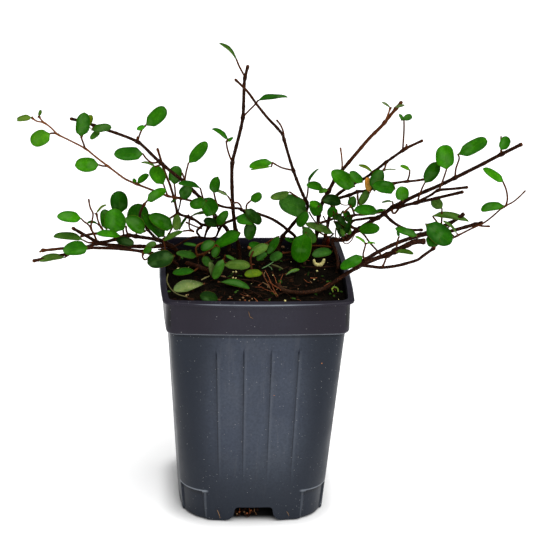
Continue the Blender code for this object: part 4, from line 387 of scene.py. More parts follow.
# Small twigs where the stems tangle: thickness, depth past the nearest stem, age and places.
TANGLE = {
    "vine_thick": (
        (1.3, -0.5, 0.8, ((31.4, 21.4), (35.3, 22.6), (39.1, 23.8), (43.9, 24.6), (48.7, 25.5))),
        (0.8, -1.5, 0.2, ((39.6, 26.5), (39.8, 24.3), (40.5, 22.4), (41.5, 20.5))),
        (0.7, -1, 0.5, ((39.1, 19), (38.8, 16.6), (39.1, 12.8))),
        (0.7, -1.2, 0.4, ((42.9, 18.1), (41.5, 15.7), (39.8, 13.3))),
        (0.8, -0.6, 0.6, ((45.1, 20), (45.8, 17.1), (44.9, 14.2))),
        (0.6, -1.6, -0.2, ((42, 12.8), (43.9, 11.4), (46.1, 12.6), (47.5, 15), (48.7, 17.1))),
        (1, -1.2, -0.4, ((42.5, 26), (44.4, 27.9), (46.5, 29.8))),
        (0.6, -0.8, -0.2, ((40.5, 33.4), (41.5, 30.6), (43.4, 30), (45.8, 30.2))),
        (0.7, -0.6, -0.5, ((52, 31), (54, 33.9), (55.9, 36.8))),
        (0.9, -0.8, 0.5, ((48.9, 37.3), (49.6, 33.9), (49.4, 29.6))),
        (0.6, -0.6, 0.3, ((46.8, 29.4), (47.7, 27), (48.2, 24.8))),
        (0.7, -0.4, 0.6, ((32.9, 24.8), (34.3, 21.9), (35.3, 18.6))),
        (0.8, -0.4, 0.7, ((26.1, 26.7), (28.1, 23.4), (30, 21))),
        (0.6, -0.6, 0.6, ((31.9, 25.3), (30.9, 22.9), (30.5, 20.5))),
        (0.9, -0.8, 0.6, ((40.1, 21.4), (42.5, 20), (45.8, 19.3), (48.7, 18.1))),
        (0.6, -1, 0.2, ((37.7, 27.2), (38.6, 24.8), (38.1, 21.4))),
    ),
    "vine_young": (
        (0.9, 0.5, 0.7, ((-35.3, 33.4), (-35.7, 30.6), (-36.6, 26.7))),
        (1.4, 0, 1, ((-22.3, 20.8), (-24.5, 20.5), (-26.1, 19.3), (-27.6, 17.6), (-26.6, 15.4),
            (-25.2, 14))),
        (1.1, -0.5, 1, ((-19.7, 21), (-21.6, 19.3), (-23, 17.1), (-23.7, 14.7))),
        (1.1, 0, 1, ((-18.7, 21), (-17.7, 19.5), (-17.1, 17.8))),
        (1.1, 0, 1, ((-15.6, 21), (-17.3, 17.6), (-18.7, 14.7), (-22.3, 14.2), (-26.6, 14.7), (-30, 14.6))),
        (0.7, 0.5, 0.6, ((-15.1, 36.6), (-13, 34.4), (-11.3, 32.5))),
    ),
    "vine_upper_left": (
        (0.5, -3, 0.2, ((-79.6, 68.7), (-79.2, 67.5), (-77.8, 66.1))),
    ),
    "vine_left": (
        (1, -1, 0.7, ((-27.6, 14.8), (-30.9, 14.2), (-33.8, 12.6), (-37.7, 10.5), (-41.5, 9.2),
            (-46.3, 8.7))),
        (1, -2, 0, ((-43.7, 14.2), (-43.2, 11.4), (-42.7, 8))),
        (0.8, -1, 0.5, ((-46.8, 14.2), (-45.3, 11.8), (-43.9, 9))),
    ),
}
# How fresh the bark is on the whole piece, and how much fresher it gets away from the pot.
FRESH = {
    "vine_young": (0, 1.1), "vine_upper_right": (0.7, 0.6), "vine_tall": (0, 0.5), "vine_right": (0, 0.3),
    "vine_arching": (0.1, 0.1), "sprig_left": (0.7, 0), "sprig_right": (-0.9, 0),
    "vine_upper_left": (-0.2, 0.2), "vine_left": (-0.2, 0.7), "vine_low_left": (-0.1, 0.7),
}
# Blades with a shape of their own: where along a blade it is widest, and how blunt its ends are.
POINTED = {"vine_tall": (0.62, 1.65)}

# Loose leaves on the soil: colour, base, tip, width, depth, lean, roll and how fast the base widens.
FALLEN_LEAVES = {
    "fallen_leaf_pale": ("pale", (-25, -5.4), (-38.2, -8), 6.2, -14, -4, 28, 1.1),
    "fallen_leaf_front": ("dark", (-16.4, -6.6), (-3, -9), 4.6, -11, -5, 52, 2.5),
    "fallen_leaf_dark": ("deep", (-17.6, -15.2), (-25.8, -13.4), 5.4, -31, -1, 20, 3),
    "fallen_leaf_narrow": ("grey", (15.6, -3), (21.2, -1), 1.9, 2, 4, 40, 1.5),
}
FALLEN_STALK_PATH = ((-41.6, -3.4), (-42.1, -6.4), (-41.2, -8.9), (-39.3, -11.3), (-36.5, -13.2),
    (-32.2, -14.4))
PERLITE_ARC = ((28.4, 2.5), (28.7, 1), (29.9, 0), (31.6, 0), (32.8, 1.1), (33.4, 2.8))
FLAKE_RADIUS = 0.82
PERLITE_SHARES = (0.75, 1.0, 1.1, 1.25, 1.0, 0.75)

# Rootlets, twigs and shreds on the soil: colour, thickness, and places with their height over the soil.
ROOTLETS = (
    ("twig", 1.1, ((-32.9, 2.7, 1.6), (-29, 1.3, 1.3), (-24.7, -0.6, 1), (-20.4, -2.5, 0.8))),
    ("olive", 0.7, ((-31.4, 2.6, 3.2), (-28.5, 1.6, 2.9), (-24.6, -0.2, 2.5))),
    ("twig", 0.8, ((-17, -4, 0.8), (-10.8, -5.4, 0.9), (-4.1, -5.9, 1), (0.2, -6.4, 0.9), (4.6, -7.8, 0.9))),
    ("tan", 0.9, ((-16.1, -4, 1.4), (-13.7, -4.5, 1.3))),
    ("twig", 0.6, ((-4.1, -10.2, 0.9), (-0.7, -11.7, 0.8), (1.7, -13.1, 0.7), (4.1, -14.5, 0.7))),
    ("twig", 0.6, ((-2.6, 2.7, 2), (-1.7, -1.1, 1.6), (-1.2, -5.9, 0.8))),
    ("root", 0.5, ((3.6, -2.1, 1.6), (4.6, -4.5, 1.4), (6, -6.9, 1.2), (7.4, -9.3, 0.9))),
    ("root", 0.4, ((5, -1.1, 1.9), (6.5, -4, 1.6), (7.9, -7.3, 1.2), (9.4, -10.7, 0.8), (11.3, -13.6, 0.6))),
    ("root", 0.6, ((6.5, -6.4, 1.5), (8.9, -8.3, 1.4), (11.3, -9.7, 1.2), (14.2, -10.7, 1))),
    ("root", 0.35, ((13.7, -3, 1.2), (12.7, -5.4, 1.4), (12.2, -7.8, 1.2), (11.8, -10.2, 0.8))),
    ("root", 0.35, ((7.4, -9.7, 0.9), (8.9, -11.7, 0.7), (10.8, -14.1, 0.6))),
    ("tan", 0.7, ((4.1, -7.3, 1.3), (6, -8.3, 1.6), (7.4, -9.7, 1.2))),
    ("tan", 0.35, ((5.5, -1.6, 2.2), (4.6, -3, 2), (5, -4.9, 1.8))),
    ("root", 0.3, ((8.4, -2.1, 1.4), (9.8, -4.9, 1.2), (10.8, -7.8, 1), (12.7, -10.2, 0.9))),
    ("root", 0.3, ((1.7, -8.3, 0.9), (4.6, -10.2, 0.8), (7.4, -11.2, 0.8), (10.3, -11.7, 0.7))),
    ("tan", 0.3, ((10.3, -10.7, 1), (12.7, -9.3, 1.2), (15.6, -9.3, 1))),
    ("twig", 0.45, ((10.8, -13.6, 0.6), (14.2, -12.1, 0.7), (17, -13.6, 0.6))),
    ("stalk", 0.7, ((-25.6, -5.9, 1.5), (-23.6, -4.9, 1.8), (-21.6, -4, 1.8))),
    ("olive", 1.1, ((8.2, 1.4, 1.4), (10.8, 0.6, 1.7), (13.6, -0.7, 1.4))),
    ("sliver", 0.6, ((15.1, -3.5, 1.4), (17.5, -2.1, 1.7), (20.4, -1.1, 1.6))),
    ("sliver", 0.5, ((3.6, -0.4, 1.8), (6.5, 1.1, 2.2), (8.9, 2.7, 2.4))),
    ("sliver", 0.6, ((6.5, 0.8, 2), (7.9, -0.1, 2), (8.4, -1.1, 1.6))),
    ("lime", 0.9, ((37.7, -11.7, 0.7), (37.2, -10.2, 1.1), (38.4, -9.4, 1.6), (39.7, -10, 1.3),
        (40.1, -11.4, 0.9))),
    ("sliver", 0.4, ((38.1, -9.7, 1.6), (38.4, -8.3, 2.4))),
    ("root", 0.9, ((14.2, -10.7, 0.7), (17, -11.4, 0.7), (20.4, -12.1, 0.8))),
    ("root", 1.2, ((32.4, -10.2, 1.2), (34.3, -8.8, 1.7), (36.2, -7.3, 2))),
    ("twig", 0.7, ((21.8, 0.8, 0.9), (27.6, 0.3, 0.9), (33.8, 0.3, 1), (39.6, 0.8, 1.2))),
    ("twig", 0.5, ((18, -7.8, 0.5), (20.4, -8.8, 0.6), (22.3, -7.8, 0.5))),
    ("root", 0.35, ((23.7, -5.4, 0.5), (25.2, -6.9, 0.6), (27.1, -7.3, 0.5))),
    ("tan", 0.5, ((26.6, -6.4, 0.6), (27.6, -7.3, 0.5))),
    ("root", 0.5, ((-0.2, -14.5, 0.8), (1.2, -16, 0.7), (2.2, -16.9, 0.5))),
    ("twig", 0.5, ((-25.7, -11.2, 0.6), (-24.7, -13.1, 0.6), (-26.1, -15, 0.5))),
    ("twig", 0.9, ((-28.5, 8.5, 2.5), (-27.6, 5.1, 1.8), (-27.1, 1.8, 0.8))),
    ("twig", 0.6, ((-23.7, 7.5, 1.2), (-20.4, 8.5, 1.3), (-16.5, 6.6, 1), (-11.8, 4.7, 0.8))),
)
# Grains on the soil: colour, radius, place and height over the soil.
GRAINS = (
    ("perlite", 0.62, -8.9, -2.1, 0.9), ("perlite", 0.5, -10.3, -4.9, 0.9), ("perlite", 0.45, -9, -5.1, 0.9),
    ("perlite", 0.7, -36.7, -0.6, 1), ("perlite", 0.45, -21.8, 7.1, 1),
    ("perlite", 0.62, 14.6, -16, 0.6), ("perlite", 0.45, 30, -1.6, 0.6),
    ("perlite", 0.4, -10.3, -2.1, 1), ("tan", 0.5, -5.5, -14.5, 0.6), ("tan", 0.55, -3.4, -13.6, 0.6),
    ("tan", 0.4, -1.2, -15, 0.6), ("tan", 0.45, -2.6, -16, 0.6), ("tan", 0.35, 0.7, -16.2, 0.6),
    ("tan", 0.45, -11.8, -14.1, 0.6), ("root", 0.5, -4.6, -15.7, 0.6), ("tan", 0.4, -7, -15.5, 0.5),
    ("twig", 0.6, -2.2, -14.3, 0.8), ("tan", 0.4, 4.1, -7.3, 1.3), ("tan", 0.5, 6.5, -9.3, 1.2),
    ("root", 0.6, 12.7, -10.7, 1.2), ("straw", 0.95, -2.5, 9.5, 4), ("tan", 0.45, -32.9, -13.6, 0.8),
    ("tan", 0.4, -31.9, -13.1, 0.9), ("moss", 0.6, 38.1, -13.6, 0.7), ("moss", 0.5, 36.2, -12.6, 0.5),
    ("twig", 0.6, 24.7, -8.8, 0.5), ("moss", 1.1, 12.2, -6.9, 0.8), ("tan", 0.35, 20.9, -10.2, 0.5),
    ("twig", 0.6, 30.5, -6.4, 0.5),
)
# Clumps that hang from the front drain hole: colour, radius, place and depth.
DRAIN_CLUMPS = (
    ("twig", 0.9, -8.9, -117.2, -31), ("twig", 1, -7.7, -118.2, -31.5), ("twig", 0.8, -7, -116.7, -30.5),
    ("twig", 0.8, -5.5, -116.5, -31), ("twig", 1, -4.1, -117.9, -31.5), ("twig", 0.9, -2.9, -118.6, -32),
    ("twig", 0.9, -2.2, -117, -31), ("twig", 0.8, -0.7, -116.7, -31.5),
    ("twig", 0.7, 0.5, -117.9, -31.5), ("root", 0.5, -7.2, -117, -32.4),
    ("root", 0.45, -3.6, -117.7, -32.8), ("tan", 0.4, -5, -117.1, -32.2),
    ("root", 0.4, -1.7, -116.4, -32.2), ("tan", 0.35, -8.4, -118, -32.4),
    ("twig", 0.9, -10.1, -116, -30.5), ("twig", 0.9, -4.6, -115.5, -30),
    ("twig", 0.9, 1.2, -115.8, -30.5),
)
# Fibres stuck on the pot or hanging below it: colour, thickness, depth and places.
POT_FIBRES = (
    ("red", 2.1, 36, ((35.3, 14.6), (35.1, 12.4), (34.8, 10.2))),
    ("tan", 1.4, 36, ((12.9, 10.1), (14.4, 9.6))),
    ("tan", 0.34, -36.5, ((-17.9, -116.2), (-17.2, -117.9), (-16.5, -120.1))),
    ("tan", 0.34, -36.7, ((15.4, -117), (16.1, -117.9), (16.5, -119.1))),
    ("tan", 0.3, -44.15, ((-2.9, -21), (-2.5, -22.4), (-2.1, -23.6), (-0.7, -24.4))),
    ("root", 0.28, -31.8, ((-7, -115.3), (-7.4, -117.2), (-8.4, -119.1))),
    ("root", 0.28, -32, ((-2.6, -115.3), (-2.2, -117.7), (-3.6, -119.6))),
    ("tan", 0.22, -32.2, ((-0.2, -115.3), (0.2, -117.2), (1.2, -118.6))),
)

# The pot, the soil in it and the floor. Lengths are in millimetres, and angles in radians.
POT_HEIGHT = 118.15
LIP_HALF, LIP_HEIGHT, LIP_CORNER = 45.6, 1.5, 5.0
BAND_HALF, BAND_FOOT = 43.9, 101.15
BODY_HALF, BODY_CORNER, BASE_HALF, BASE_CORNER = 42.4, 6.5, 35.9, 17.0
SIDE_BOW, WALL, RIM_DIP, BED_GAP = 1.3, 1.2, 0.9, 0.3
MARKED_HALF = 34.5
# Turns of the points round a corner, in degrees.
CORNER_TURNS = (0, 7, 13, 16, 17, 18, 19, 21, 25, 32, 39, 45, 51, 58, 65, 69, 71, 72, 73, 74, 77, 83, 90)
GROOVES = (-19.5, -6.5, 6.5, 19.5)
GROOVE_DEPTH, GROOVE_SOFT, GROOVE_SHARP = 0.7, 2.6, 0.6
FOOT_HEIGHT, FOOT_RECESS, FOOT_TURN = 16.7, 0.9, math.radians(17)
NOTCH_WIDTH, NOTCH_HEIGHT, DRAIN_RADIUS, DRAIN_PLACE = 18.2, 8.3, 2.6, 27.0
SOIL_TOP, SOIL_MOUND, SOIL_BUMP, BED_RINGS, BED_REACH = 112.75, 0.8, 0.4, 62, 41.0
BED_SUNK, BED_STEEP, BED_EDGE, STRAND_REACH = 0.35, 0.3, 52.0, 38
FLOOR_REACH, SHARP_EDGE = 6000.0, math.radians(48)

# The stems, stalks and twigs. Lengths are in millimetres, and the other numbers have no unit.
ROOT_DEPTH, ROOT_NECK, LAID_LIFT = 9.0, 0.6, 0.6
SUNK_TWIG, SUNK_STALK, STALK_STEP, STALK_AGE = 0.25, 0.9, 0.8, 0.2
FRESH_FROM, FRESH_SPAN, OLD_FROM, OLD_SPAN = 35.0, 60.0, 0.75, 0.4
KNOT_REACH, KNOT_SPREAD, NODE_EVERY, NODE_SPREAD, NODE_RISE = 2.0, 1.1, 11.0, 0.9, 0.35
STOUT_FROM, STOUT_SPAN, SLIM_FULLNESS, BARK_LOW = 0.8, 0.5, 1.08, 0.98
LUMP_HEIGHT, LUMP_SCALE = 0.06, 0.9
TWIG_DEPTH, TWIG_FOOT, TWIG_TAPER = 0.3, 1.05, 0.3
STALK_FOOT, STALK_TAPER, STALK_FLARE, RIB_SUNK = 1.12, 0.12, 1.25, 0.45
STUB, LOOSE_LIFT, LOOSE_RADIUS, LOOSE_TAPER = 1.2, 0.75, 0.38, 0.12
# How much the last rings of a stem swell and close, counted from its tip.
STEM_END = ((3, 1.12), (2, 1.2), (1, 0.9))

# The blades. SMALL_BLADE is a width in millimetres, and the other numbers have no unit.
BLADE_FOLD, BLADE_ARCH, BLADE_FULL, BLADE_WEDGE, SMALL_BLADE = 0.2, 0.06, 1.08, 3.6, 2.0
BLADE_BLUNT, BLADE_FOOT, FOLD_SOFT, FOLD_LOW, TWIST_FROM = 0.02, 0.3, 0.02, 0.1414, 0.4
EDGE_THIN, TIP_THIN, ROWS_FROM, ROWS_SPAN = 0.55, 0.4, 0.04, 0.955
VEIN_COUNT, VEIN_SLANT, VEIN_BEND, VEIN_RISE = 6.5, 2.2, 1.3, 0.028
# Where a stalk runs on as a blade's midrib, and how thick it still is there.
RIB = ((0.05, 0.5), (0.2, 0.32), (0.4, 0.22), (0.6, 0.16), (0.78, 0.12), (0.92, 0.08))
SMALL_RIB = ((0.05, 0.5), (0.2, 0.25))


def sight_axes():
    """The viewer's place and the sheet's across and up directions, in millimetres."""
    turn, tilt = math.sin(SIGHT_TURN), math.cos(SIGHT_TILT)
    back = Vector((turn * tilt, -math.cos(SIGHT_TURN) * tilt, math.sin(SIGHT_TILT)))
    level = Vector((math.cos(SIGHT_TURN), math.sin(SIGHT_TURN), 0.0))
    rise = back.cross(level)
    across = level * math.cos(SIGHT_ROLL) + rise * math.sin(SIGHT_ROLL)
    up = rise * math.cos(SIGHT_ROLL) - level * math.sin(SIGHT_ROLL)
    return SIGHT_TARGET + back * SIGHT_DISTANCE, across, up


EYE, ACROSS, UP = sight_axes()


def at_depth(u, v, y):
    """The point at depth y that shows at (u, v) on the sheet."""
    ray = SHEET_CENTRE + ACROSS * u + UP * v - EYE
    return EYE + ray * ((y - EYE.y) / ray.y)


def at_height(u, v, z):
    """The point at height z that shows at (u, v) on the sheet."""
    ray = SHEET_CENTRE + ACROSS * u + UP * v - EYE
    return EYE + ray * ((z - EYE.z) / ray.z)


def soil_height(x, y):
    """The soil's uneven top."""
    mound = SOIL_MOUND * math.cos(min(1.0, math.hypot(x, y) / LIP_HALF) * math.pi / 2)
    bumps = math.sin(x * 0.31 + 0.7) * math.cos(y * 0.27 - 0.4) + 0.6 * math.sin(x * 0.53 - y * 0.47 + 1.9)
    return SOIL_TOP + mound + SOIL_BUMP * bumps


def on_soil(u, v, lift):
    """The point a little above the soil that shows at (u, v) on the sheet."""
    z = SOIL_TOP + lift
    for _ in range(4):
        point = at_height(u, v, z)
        z = soil_height(point.x, point.y) + lift
    return at_height(u, v, z)


def clamped(value, low=0.0, high=1.0):
    """The value held between low and high."""
    return max(low, min(high, value))


# Settings

def colour(name, description, value):
    """A colour that the user may change."""
    return FloatVectorProperty(name=name, description=description, default=value, size=3, subtype="COLOR",
                               min=0.0, max=1.0)


def length(name, description, value):
    """A length in metres that the user may change."""
    return FloatProperty(name=name, description=description, default=value, min=0.0, max=0.1,
                         subtype="DISTANCE", unit="LENGTH", precision=5)


def share(name, description, value, low=0.0, high=1.0):
    """A share of something that the user may change."""
    return FloatProperty(name=name, description=description, default=value, min=low, max=high,
                         subtype="FACTOR")


def amount(name, description, value, subtype="NONE"):
    """A strength or a number for each square metre that the user may change."""
    return FloatProperty(name=name, description=description, default=value, min=0.0, subtype=subtype)


def whole(name, description, value, low=0, high=10000):
    """A whole number that the user may change."""
    return IntProperty(name=name, description=description, default=value, min=low, max=high)


class VINE_PG_leaves(bpy.types.PropertyGroup):
    """Colours and sizes of the leaves."""
    bright: colour("Bright Green", "Well-lit mature leaf", (0.031, 0.2, 0.002))
    light: colour("Light Green", "Young leaf", (0.062, 0.24, 0.005))
    mid: colour("Green", "Mature leaf", (0.017, 0.124, 0.0015))
    # Dark serves old leaves and also leaves in shade, as painted shade; Deep is painted shade for leaves
    # inside the tangle.
    dark: colour("Dark Green", "Old leaf", (0.0105, 0.084, 0.0015))
    soft: colour("Soft Green", "Leaf low in the pot", (0.028, 0.112, 0.01))
    deep: colour("Deep Green", "Leaf inside the tangle", (0.005, 0.032, 0.0015))
    grey: colour("Grey Green", "Pale underside", (0.075, 0.165, 0.025))
    lime: colour("Yellow Green", "Fresh tip leaf", (0.09, 0.16, 0.003))
    olive: colour("Olive", "Leaf turned on edge", (0.042, 0.115, 0.01))
    pale: colour("Cream Green", "Leaf fading on the soil", (0.115, 0.175, 0.06))
    dead: colour("Brown", "Dry leaf", (0.11, 0.045, 0.01))
    straw: colour("Straw", "Leaf turned yellow-brown", (0.5, 0.2, 0.03))
    rim: colour("Margin", "Thin rim round a blade", (0.2, 0.15, 0.015))
    blade: length("Blade Thickness", "Thickness at the midrib", 0.0003)
    overlap: share("Overlap", "How far a blade reaches past its ends, as a share", 0.04, high=0.2)
    rows: whole("Rows", "Rows of points along a blade", 26, 8, 60)
    columns: whole("Columns", "Rows of points across a blade", 14, 4, 40)


class VINE_PG_stems(bpy.types.PropertyGroup):
    """Colours and sizes of the stems."""
    old: colour("Old Bark", "Bark of the thick stems", (0.013, 0.0045, 0.0025))
    young: colour("Young Bark", "Bark of twigs and stalks", (0.06, 0.017, 0.005))
    dusty: colour("Dusty Bark", "Bark at the foot of the stems", (0.12, 0.068, 0.04))
    shoot: colour("Fresh Shoot", "Bark of the freshest shoots", (0.15, 0.048, 0.014))
    wear_and_highlight: colour("Worn Bark", "Streaks where the bark has rubbed", (0.26, 0.075, 0.018))
    step: length("Step", "Distance between rings along a stem", 0.0007)
    sides: whole("Sides", "Sides of a stem", 10, 4, 24)
    knob: share("Node Swelling", "How much a stem swells at a node, as a share", 0.42, high=2.0)
    grain: length("Grain", "Height of the bark's grain", 0.00006)
    stalk: length("Stalk", "Thickness of a leaf stalk", 0.00084)
    fullness: share("Fullness", "Thickness of the stems with their bark, as a share", 1.3, 0.5, 2.0)


class VINE_PG_pot(bpy.types.PropertyGroup):
    """Colours of the pot."""
    plastic: colour("Plastic", "Moulded slate plastic", (0.044, 0.054, 0.076))
    # Painted highlight: the pale colour of the painted highlights along the pot's edges and grooves.
    wear_and_highlight: colour("Worn Edge", "Edges rubbed pale", (0.17, 0.19, 0.22))
    dust: colour("Dust", "Fine light specks", (0.42, 0.42, 0.42))
    rust: colour("Orange Specks", "A few orange grains", (0.6, 0.2, 0.04))


class VINE_PG_soil(bpy.types.PropertyGroup):
    """Colours and sizes of the soil."""
    peat: colour("Peat", "Damp dark peat", (0.0025, 0.0018, 0.0012))
    crumbs: colour("Crumbs", "Dark crumbs of peat", (0.0045, 0.003, 0.002))
    chip: colour("Bark Chips", "Reddish bark in the mix", (0.022, 0.0085, 0.004))
    twig: colour("Dead Twigs", "Dark twigs on the soil", (0.022, 0.009, 0.005))
    tan: colour("Husks", "Tan shreds and crumbs", (0.2, 0.115, 0.055))
    sliver: colour("Slivers", "Grey-green shreds of leaf", (0.1, 0.19, 0.07))
    olive: colour("Olive Twigs", "Green-brown twigs", (0.07, 0.075, 0.025))
    lime: colour("Sprout", "Curled yellow-green sprout", (0.16, 0.25, 0.03))
    straw: colour("Orange Husk", "Small orange husk", (0.5, 0.22, 0.05))
    stalk: colour("Faded Stalk", "Cream-green stalk on the soil", (0.14, 0.13, 0.05))
    perlite: colour("Perlite", "Cream-white grains", (0.56, 0.5, 0.2))
    red: colour("Red Stub", "Dark red stub at the back of the pot", (0.15, 0.02, 0.007))
    root: colour("Rootlets", "Orange-brown rootlets on the soil", (0.22, 0.065, 0.025))
    moss: colour("Moss", "Green specks and scraps of leaf on the soil", (0.025, 0.06, 0.008))
    crumb: length("Crumb", "Size of a crumb", 0.0011)
    density: amount("Density", "Crumbs on a square metre", 620000.0)
    strands: whole("Strands", "Loose threads on the soil", 110)
    seed: whole("Seed", "Seed of the scatter", 7)


class VINE_PG_stage(bpy.types.PropertyGroup):
    """The floor and the light."""
    floor: colour("Floor", "Plain pale floor", (0.9, 0.9, 0.9))
    key: amount("Key Light", "Strength of the broad overhead light", 3.0)
    front: amount("Front Light", "Power of the soft light in front", 3.0, "POWER")
    sky: amount("Surround", "Strength of the white surround", 0.3)
    glow: amount("Floor Glow", "How far the floor is lit from below", 0.4)


SETTINGS = {"vine_leaves": VINE_PG_leaves, "vine_stems": VINE_PG_stems, "vine_pot": VINE_PG_pot,
            "vine_soil": VINE_PG_soil, "vine_stage": VINE_PG_stage}


# Materials

class Shader:
    """A new Principled material and short ways to wire its nodes."""

    def __init__(self, name, **constants):
        self.material = bpy.data.materials.new(name)
        self.material.use_nodes = True
        self.tree = self.material.node_tree
        self.bsdf = self.tree.nodes["Principled BSDF"]
        for key, value in constants.items():
            self.bsdf.inputs[key.replace("_", " ")].default_value = value
        self.place = self.node("ShaderNodeTexCoord").outputs["Object"]

    def node(self, kind, **values):
        made = self.tree.nodes.new(kind)
        for key, value in values.items():
            setattr(made, key, value)
        return made

    def put(self, socket, value):
        """A link where value is a socket, and otherwise a constant."""
        if isinstance(value, bpy.types.NodeSocket):
            self.tree.links.new(value, socket)
        elif hasattr(value, "__len__") and len(value) == 3 and socket.type == "RGBA":
            socket.default_value = (*value, 1.0)
        else:
            socket.default_value = value

    def math(self, operation, *values, clamp=False):
        made = self.node("ShaderNodeMath", operation=operation, use_clamp=clamp)
        for socket, value in zip(made.inputs, values):
            self.put(socket, value)
        return made.outputs[0]

    def chain(self, operation, first, *others):
        """The operation on the first value and each other in turn."""
        for other in others:
            first = self.math(operation, first, other)
        return first

    def times(self, *values):
        return self.chain("MULTIPLY", *values)

    def most(self, *values):
        return self.chain("MAXIMUM", *values)

    def plus(self, a, b):
        return self.math("ADD", a, b)

    def minus(self, a, b):
        return self.math("SUBTRACT", a, b)

    def size(self, value):
        return self.math("ABSOLUTE", value)

    def centred(self, noise_value, reach):
        """A noise value moved to lie evenly about 0, times reach."""
        return self.times(self.minus(noise_value, 0.5), reach)

    def ramp(self, value, low, high, to_low=0.0, to_high=1.0):
        """Maps low..high smoothly to to_low..to_high, held at both ends."""
        made = self.node("ShaderNodeMapRange", interpolation_type="SMOOTHSTEP")
        for socket, number in zip(made.inputs, (value, low, high, to_low, to_high)):
            self.put(socket, number)
        return made.outputs[0]

    def fall(self, value, low, high, start=1.0):
        """From start at low to 0 at high, held at both ends."""
        return self.ramp(value, low, high, start, 0.0)

    def strip(self, value, low, high, soft):
        """1 between low and high, with soft edges."""
        return self.times(self.ramp(value, low - soft, low), self.fall(value, high, high + soft))

    def noise(self, scale, detail=3.0, rough=0.55, stretch=None):
        made = self.node("ShaderNodeTexNoise")
        for key, value in (("Scale", scale), ("Detail", detail), ("Roughness", rough)):
            made.inputs[key].default_value = value
        place = self.place
        if stretch:
            mapping = self.node("ShaderNodeMapping")
            mapping.inputs["Scale"].default_value = stretch
            self.put(mapping.inputs["Vector"], place)
            place = mapping.outputs[0]
        self.put(made.inputs["Vector"], place)
        return made.outputs["Fac"]

    def cells(self, scale, output="Distance"):
        made = self.node("ShaderNodeTexVoronoi")
        made.inputs["Scale"].default_value = scale
        self.put(made.inputs["Vector"], self.place)
        return made.outputs[output]

    def mix(self, factor, a, b, blend="MIX"):
        made = self.node("ShaderNodeMix", data_type="RGBA", blend_type=blend)
        for socket, value in ((made.inputs["Factor"], factor), (made.inputs[6], a), (made.inputs[7], b)):
            self.put(socket, value)
        return made.outputs[2]

    def toned(self, base, by):
        """One colour multiplied by another."""
        return self.mix(1.0, base, by, "MULTIPLY")

    def coats(self, base, *coats):
        """The base under each coat in turn, a coat being its mask and its colour."""
        for mask, tone in coats:
            base = self.mix(mask, base, tone)
        return base

    def attribute(self, name, output="Vector"):
        return self.node("ShaderNodeAttribute", attribute_name=name).outputs[output]

    def split(self, vector):
        made = self.node("ShaderNodeSeparateXYZ")
        self.put(made.inputs[0], vector)
        return made.outputs

    def set(self, name, value):
        self.put(self.bsdf.inputs[name], value)

    def finish(self, base, rough, height, strength, distance):
        """Sets the colour, the roughness and the fine relief."""
        bump = self.node("ShaderNodeBump")
        bump.inputs["Strength"].default_value = strength
        bump.inputs["Distance"].default_value = distance
        self.put(bump.inputs["Height"], height)
        for key, value in (("Base Color", base), ("Roughness", rough), ("Normal", bump.outputs[0])):
            self.set(key, value)
        return self.material


def leaf_veins(sh, along, aside):
    """Masks of a blade's midrib and of the side veins that slant away from it."""
    slant = sh.minus(sh.times(along, VEIN_COUNT), sh.times(sh.math("POWER", aside, VEIN_BEND), VEIN_SLANT))
    wander = sh.centred(sh.noise(420.0), 0.35)
    vein = sh.size(sh.minus(sh.math("FRACT", sh.plus(slant, wander)), 0.5))
    rib = sh.times(sh.fall(aside, 0.015, 0.085), sh.ramp(along, 0.7, 1.0, 1.0, 0.25))
    return rib, sh.times(sh.fall(vein, 0.0, 0.11), sh.ramp(aside, 0.1, 0.95, 1.0, 0.1))


